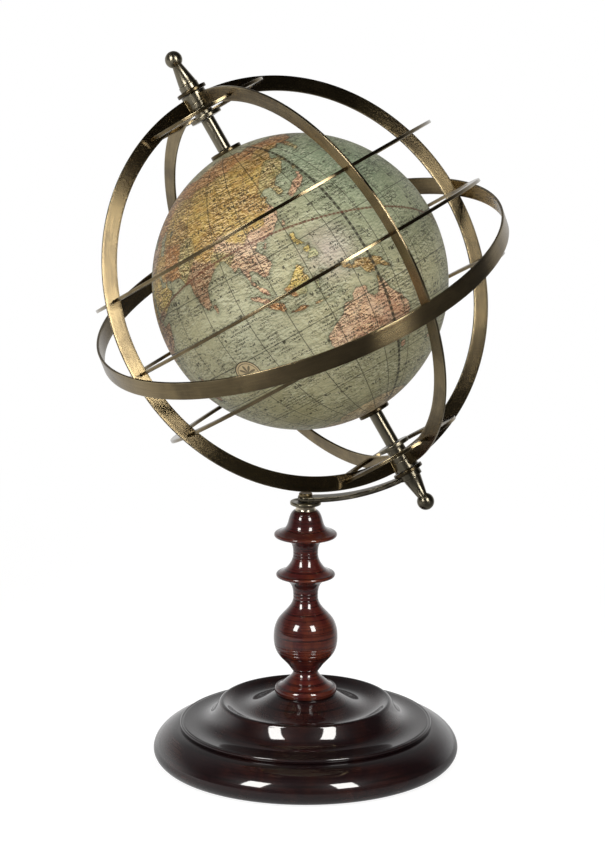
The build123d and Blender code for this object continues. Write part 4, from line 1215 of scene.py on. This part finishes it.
# ---------------------------------------------------------------- operators
class TurnWood(bpy.types.Operator):
    """Turn the two discs of the base and the column."""
    bl_idname = "desk_globe.turn_wood"
    bl_label = "Turn Base and Column"

    def execute(self, context):
        s = settings().wood_sizes
        for name, node, outline, look in (
                ("base_lower_disc", "base_foot", foot_outline(s), "Mahogany base"),
                ("base_upper_disc", "base_dish", dish_outline(s), "Mahogany base"),
                ("turned_column", "column", column_outline(s), "Mahogany column")):
            piece = turn_piece(name, outline, UPRIGHT, finish(look), s.facets)
            place_piece(piece, "stand", "lacquered_wood", node)
        return {"FINISHED"}


class FitStandHardware(bpy.types.Operator):
    """Felt, screws, tie rod, ferrule, cap disc and arm nut."""
    bl_idname = "desk_globe.fit_stand_hardware"
    bl_label = "Fit Stand Hardware"

    def execute(self, context):
        s = settings().metal_sizes
        dress(FELT, "felt_pad")
        dress("Zinc plated steel", "base_screws", "tie_rod", "tie_rod_washer", "tie_rod_nut")
        dress("Bronzed brass pins", "arm_nut")
        inner, outer, low, high = span("ferrule", UPRIGHT)
        waist = arc((outer - 0.5 * MM, low), (outer - 1.0 * MM, (low + high) / 2), (outer, high - 0.3 * MM), 12)
        collar = [(inner, low), *((*p, 0.2) for p in waist), (outer - 0.2 * MM, high, 0.6), (inner, high)]
        piece = turn_piece("bright_ferrule", collar, UPRIGHT, finish("Bright brass ferrule"), s.facets)
        place_piece(piece, "stand", "bright_brass", "ferrule")
        disc = plain_sleeve("cap_disc", 0.75 * MM, UPRIGHT)
        piece = turn_piece("swivel_disc", disc, UPRIGHT, finish("Bronzed brass fittings"), s.facets)
        place_piece(piece, "stand", "bronzed_brass", "cap_disc")
        return {"FINISHED"}


class BendArm(bpy.types.Operator):
    """The short curved strap from the swivel to the lower pole."""
    bl_idname = "desk_globe.bend_arm"
    bl_label = "Bend Arm"

    def execute(self, context):
        s = settings().metal_sizes
        out = Vector((-NORTH.x, -NORTH.y, 0)).normalized()
        side = UP.cross(out)
        inner_face, thickness, width = 134.0 * MM, 3.0 * MM, 9.6 * MM
        radius = inner_face + thickness / 2
        # a flat foot over the column, then an arc about the globe's centre up to the polar axis
        foot_back, foot_front, foot_steps = -4.75 * MM, 3.2 * MM, 14
        bend, bend_steps = 5.0 * MM, 34
        level = GLOBE_CENTRE.z - radius
        path = [Vector((0, 0, level)) + out * x for x in np.linspace(foot_back, foot_front, foot_steps)]
        first = math.asin((bend - GLOBE_CENTRE.dot(out)) / radius)
        for a in np.linspace(first, math.acos(NORTH.z), bend_steps):
            path.append(GLOBE_CENTRE + (out * math.sin(a) - UP * math.cos(a)) * radius)
        brass = finish("Bronzed brass strap")
        strap = strap_piece("arm_strap", path, side, width, thickness, s.corner * 1.4, brass)
        round_foot(strap, out, side, width / 2)
        bore, eye_radius = 2.1 * MM, 7.0 * MM
        near, far = -(inner_face - 0.4 * MM), -(inner_face + thickness + 0.2 * MM)
        soft = s.break_edge
        ring = rounded([(bore, near), (eye_radius, near, soft), (eye_radius, far, soft), (bore, far)], 0)
        eye = turn_piece("arm_eye", ring, POLAR, brass, s.facets)
        arm = join_meshes("curved_arm", [strap, eye])
        place_piece(arm, "arm", "bronzed_brass", "arm")
        return {"FINISHED"}


def round_foot(strap, out, side, reach):
    """Round the free end of the strap over the column."""
    for v in strap.data.vertices:
        x, y = v.co.dot(out), v.co.dot(side)
        if x < 0:
            half = math.sqrt(max(reach * reach - x * x, 1e-10))
            v.co += side * (y * half / reach - y)


class TurnFittings(bpy.types.Operator):
    """Turned fittings along the polar axis: spacers, hubs, collars, flanges, washers, finials and pole caps."""
    bl_idname = "desk_globe.turn_fittings"
    bl_label = "Turn Polar Fittings"

    def execute(self, context):
        s = settings().metal_sizes
        edge, brass, dark = s.break_edge, "Bronzed brass fittings", "Dark bronze cap"
        dress("Zinc plated steel", "polar_rod")
        for pole in ("upper", "lower"):
            for name, part, body, maker, rounding, look in (
                    ("sleeve", "spacer_tube", "arm", plain_sleeve, (edge,), brass),
                    ("thrust_disc", "flange", "arm", plain_sleeve, (edge * 1.6,), dark),
                    ("ball_finial", "finial", "arm", finial_outline, (), brass),
                    ("cage_hub", "inner_hub", "cage", hub_outline, (edge, s.shoulder), brass),
                    ("cage_collar", "outer_collar", "cage", plain_sleeve, (edge,), brass),
                    ("polar_cap", "pole_cap", "globe", plain_sleeve, (edge * 2,), dark)):
                node = f"{pole}_{part}"
                piece = turn_piece(f"{pole}_{name}", maker(node, *rounding), POLAR, finish(look), s.facets)
                place_piece(piece, body, "bronzed_brass", node)
            dress("Turned brass bush", f"{pole}_pole_bush")
        piece = turn_piece("finial_washer", plain_sleeve("upper_washer", edge), POLAR, finish(brass), s.facets)
        place_piece(piece, "arm", "bronzed_brass", "upper_washer")
        return {"FINISHED"}


def band_about(node, axis):
    """Outer radius, inner radius and reach along the axis of a CAD ring about the globe's centre."""
    co = node_points(node, UPRIGHT) - np.array(GLOBE_CENTRE)
    along = co @ np.array(axis)
    radius = np.linalg.norm(co - along[:, None] * np.array(axis), axis=1)
    return radius.max(), radius.min(), along.min(), along.max()


class BendRings(bpy.types.Operator):
    """The armillary cage: two flat meridian rings in half rings, the ecliptic band and five flat rings."""
    bl_idname = "desk_globe.bend_rings"
    bl_label = "Bend Cage Rings"

    def execute(self, context):
        s = settings().metal_sizes
        tree, sockets = ring_tree()
        a, n, tilt = s.cage_turn, s.cage_turn + s.ecliptic_turn, s.ecliptic_tilt
        axes = {
            "meridian_ring_a": (-math.sin(a), math.cos(a), 0),
            "meridian_ring_b": (math.cos(a), math.sin(a), 0),
            "ecliptic_band": (math.sin(n) * math.sin(tilt), -math.cos(n) * math.sin(tilt), math.cos(tilt)),
        }
        for circle in ("equator", "tropic_of_cancer", "tropic_of_capricorn", "arctic", "antarctic"):
            axes[circle + "_ring"] = (0, 0, 1)
        for node, direction in axes.items():
            axis = (POLAR.to_3x3() @ Vector(direction)).normalized()
            outer, inner, low, high = band_about(node, axis)
            thickness = s.strip if node == "ecliptic_band" else outer - inner
            meridian = node.startswith("meridian")
            start = NORTH if meridian else axis.orthogonal().normalized()
            turn = Matrix((start, axis.cross(start), axis)).transposed().to_euler()
            values = {"Radius": outer, "Thickness": thickness, "Width": high - low, "Corner": s.corner,
                      "Steps": s.band_steps, "Shift": (low + high) / 2, "Centre": tuple(GLOBE_CENTRE),
                      "Axis": tuple(axis), "Turn": tuple(turn), "Half": meridian,
                      "Metal": finish("Bronzed brass bands")}
            if meridian:
                gap = math.asin(s.pole_gap / (outer - thickness / 2))
                values.update({"Steps": s.band_steps // 2, "Sweep": math.pi - 2 * gap})
                halves = [bake_nodes(f"{node}_{half}_half", tree, sockets, {**values, "Start": begin})
                          for half, begin in (("near", gap), ("far", math.pi + gap))]
                piece = join_meshes("cage_" + node, halves)
            else:
                piece = bake_nodes("cage_" + node, tree, sockets, values)
            face_out(piece)
            place_piece(piece, "cage", "bronzed_brass", node)
        return {"FINISHED"}


class PrintGlobe(bpy.types.Operator):
    """The ball and its printed paper."""
    bl_idname = "desk_globe.print_globe"
    bl_label = "Print Globe"

    def execute(self, context):
        _, radius, _, flat = span("upper_globe_shell")
        steps = settings().map.radius_steps
        rows = steps // 2
        edge = math.asin(min(flat / radius, 1))
        lats = np.linspace(-edge, edge, rows + 1)
        around = np.arange(steps) * 2 * math.pi / steps
        chart = np.stack([np.outer(np.cos(lats), np.cos(around)), np.outer(np.cos(lats), np.sin(around)),
                          np.outer(np.sin(lats), np.ones(steps))], -1).reshape(-1, 3)
        chart = np.concatenate([chart, [(0, 0, -1), (0, 0, 1)]])
        spots = chart * radius
        spots[-2:, 2] = (-flat, flat)
        faces = [face for i in range(rows) for face in ring_faces(i * steps, (i + 1) * steps, steps)]
        bottom, top, last = len(chart) - 2, len(chart) - 1, rows * steps
        for j, k in pairs_round(steps):
            faces += [(bottom, k, j), (top, last + j, last + k)]
        lon = (np.degrees(np.arctan2(chart[:, 1], chart[:, 0])) - MAP_TURN + 180) % 360 - 180
        lat = np.degrees(np.arcsin(np.clip(chart[:, 2], -1, 1)))
        printed = on_ball(lon, lat)
        wash, border = country_washes(printed)
        opaque = np.ones((len(chart), 1))
        attributes = {"chart": chart, "coast": np.clip(coast_distance(printed, lon, lat), -FAR, FAR),
                      "border": np.clip(border, 0, FAR), "wash": np.concatenate([wash, opaque], 1),
                      "sea": np.concatenate([sea_tints_and_light(printed), opaque], 1)}
        matrix = np.array(POLAR)
        placed = spots @ matrix[:3, :3].T + matrix[:3, 3]
        ball = finish_mesh("printed_ball", placed, faces, attributes, [finish(PAPER)])
        place_piece(ball, "globe", "map_paper", "upper_globe_shell", "lower_globe_shell")
        dress(CARD, "globe_seam_ring")
        return {"FINISHED"}


STAGE_MIDDLE = Vector((0, 0, 0.24))     # where the lamps point
PLAIN_LAMP_AWAY = 2.6                   # distance of the front and back lights


def ray_kinds(t):
    """Whether a ray comes from the camera, and whether from a polished or clear surface."""
    ray = t.wires("ShaderNodeLightPath")
    return ray["Is Camera Ray"], t.max(ray["Is Glossy Ray"], ray["Is Transmission Ray"])


class SetStage(bpy.types.Operator):
    """Pale floor, two softboxes, plain front and back lights, the room and the camera."""
    bl_idname = "desk_globe.set_stage"
    bl_label = "Set Stage"

    def execute(self, context):
        s = settings().stage
        scene = bpy.context.scene
        for name, turn in (("left_softbox", -s.left_turn), ("right_softbox", s.right_turn)):
            level = math.cos(s.key_rise)
            away = Vector((math.sin(turn) * level, -math.cos(turn) * level, math.sin(s.key_rise)))
            self.hang_lamp(name, away, s.key_away, shape="RECTANGLE", size=s.key_wide, size_y=s.key_tall,
                           energy=s.key_power, color=(1.0, 0.985, 0.955))
        for name, watts, way in (("front_light", s.front_power, (-0.10, -0.90, 0.42)),
                                 ("back_light", s.back_power, (0.25, 0.90, 0.36))):
            away = Vector(way).normalized()
            holder = self.hang_lamp(name, away, PLAIN_LAMP_AWAY, shape="DISK", size=1.0, energy=watts)
            holder.visible_glossy = False
        self.light_world(scene, s)
        self.lay_floor()
        camera = bpy.data.cameras.new("camera")
        camera.lens, camera.sensor_width, camera.sensor_fit = s.lens, 36, "AUTO"
        camera.clip_start, camera.clip_end = 0.01, 60
        holder = add_object("camera", camera)
        holder.location = s.camera_place
        holder.rotation_euler = (math.pi / 2 - s.camera_dip, 0, s.camera_turn)
        scene.camera = holder
        scene.view_settings.view_transform = "Standard"
        return {"FINISHED"}

    def hang_lamp(self, name, away, distance, **values):
        """An area light that points to the middle of the stage and isn't seen itself."""
        lamp = bpy.data.lights.new(name, "AREA")
        for key, value in values.items():
            setattr(lamp, key, value)
        holder = add_object(name, lamp)
        holder.location = STAGE_MIDDLE + away * distance
        holder.rotation_euler = away.to_track_quat("Z", "Y").to_euler()
        holder.visible_camera = False
        return holder

    def light_world(self, scene, s):
        """White to the camera; in polished surfaces a room that is pale behind and dim in front."""
        world = bpy.data.worlds.new("plain_room")
        scene.world = world
        world.use_nodes = True
        world.node_tree.nodes.clear()
        t = Tree(world.node_tree)
        camera, shiny = ray_kinds(t)
        x, y, z = t.parts(t.wires("ShaderNodeTexCoord")["Generated"])
        back = t.step(y - x * 0.25, 0.05, 0.80, 0.035, 0.75)
        high = t.step(z, 0.12, 0.60, 1.0, 0.22)
        room = t.max(back * high, t.step(z, 0.0, -0.05, 0.0, 0.8))
        strength = t.between(camera, t.between(shiny, s.fill, room), 1.0)
        shell = t.first("ShaderNodeBackground", {"Color": (1.0, 1.0, 1.0), "Strength": strength})
        t.add("ShaderNodeOutputWorld", {0: shell})

    def lay_floor(self):
        """A white floor that keeps a faint shadow and shows paler in polished surfaces."""
        material, t, shader = new_material("Pale floor")
        t.tree.nodes.remove(shader)
        camera, shiny = ray_kinds(t)
        here = t.here()
        x, y, _ = t.parts(here)
        far = t.step(t.vector("LENGTH", here), 0.16, 0.80)
        mirrored = t.max(t.step(y - x * 0.7, -0.40, 0.45, 0.10, 0.80), t.step(x, -0.05, -0.50, 0.12, 0.55))
        level = t.between(shiny, far * 0.14 + 0.86, mirrored)
        glow = t.first("ShaderNodeEmission", {"Color": (1.0, 1.0, 1.0), "Strength": level})
        plain, near = (t.first("ShaderNodeBsdfDiffuse", {"Color": (grey, grey, grey)}) for grey in (0.80, 0.26))
        clear = t.first("ShaderNodeBsdfTransparent", {"Color": (0.0, 0.0, 0.0)})
        dark = t.first("ShaderNodeMixShader", {0: t.max(far, shiny), 1: near, 2: clear})
        shown = t.first("ShaderNodeAddShader", {0: glow, 1: dark})
        both = t.first("ShaderNodeMixShader", {0: t.max(camera, shiny), 1: plain, 2: shown})
        t.fill(next(n for n in t.tree.nodes if n.type == "OUTPUT_MATERIAL"), {0: both})
        steps, radius, drop = 96, 6, -0.2 * MM
        ways = [i * 2 * math.pi / steps for i in range(steps)]
        verts = [(0, 0, drop)] + [(radius * math.cos(way), radius * math.sin(way), drop) for way in ways]
        faces = [(0, j + 1, k + 1) for j, k in pairs_round(steps)]
        finish_mesh("floor", verts, faces, {}, [material])


class DeskGlobePanel(bpy.types.Panel):
    """Lists the steps that make the globe."""
    bl_idname = "VIEW3D_PT_desk_globe"
    bl_label = "Desk Globe"
    bl_space_type = "VIEW_3D"
    bl_region_type = "UI"
    bl_category = "Desk Globe"

    def draw(self, context):
        for step in STEPS:
            self.layout.operator(step.bl_idname)
        s = settings()
        for group in (s.wood_sizes, s.metal_sizes, s.metal, s.wood, s.map, s.stage):
            box = self.layout.box()
            for key in group.__annotations__:
                box.prop(group, key)


STEPS = (TurnWood, FitStandHardware, BendArm, TurnFittings, BendRings, PrintGlobe, SetStage)
GROUPS = (WoodSizes, MetalSizes, MetalLook, WoodLook, MapLook, StageLook, GlobeSettings)


def register():
    for cls in GROUPS + STEPS + (DeskGlobePanel,):
        bpy.utils.register_class(cls)
    bpy.types.Scene.desk_globe = PointerProperty(type=GlobeSettings)


def unregister():
    del bpy.types.Scene.desk_globe
    for cls in reversed(GROUPS + STEPS + (DeskGlobePanel,)):
        bpy.utils.unregister_class(cls)


def main():
    register()
    for step in STEPS:
        group, name = step.bl_idname.split(".")
        getattr(getattr(bpy.ops, group), name)()


if __name__ == "__main__":
    main()
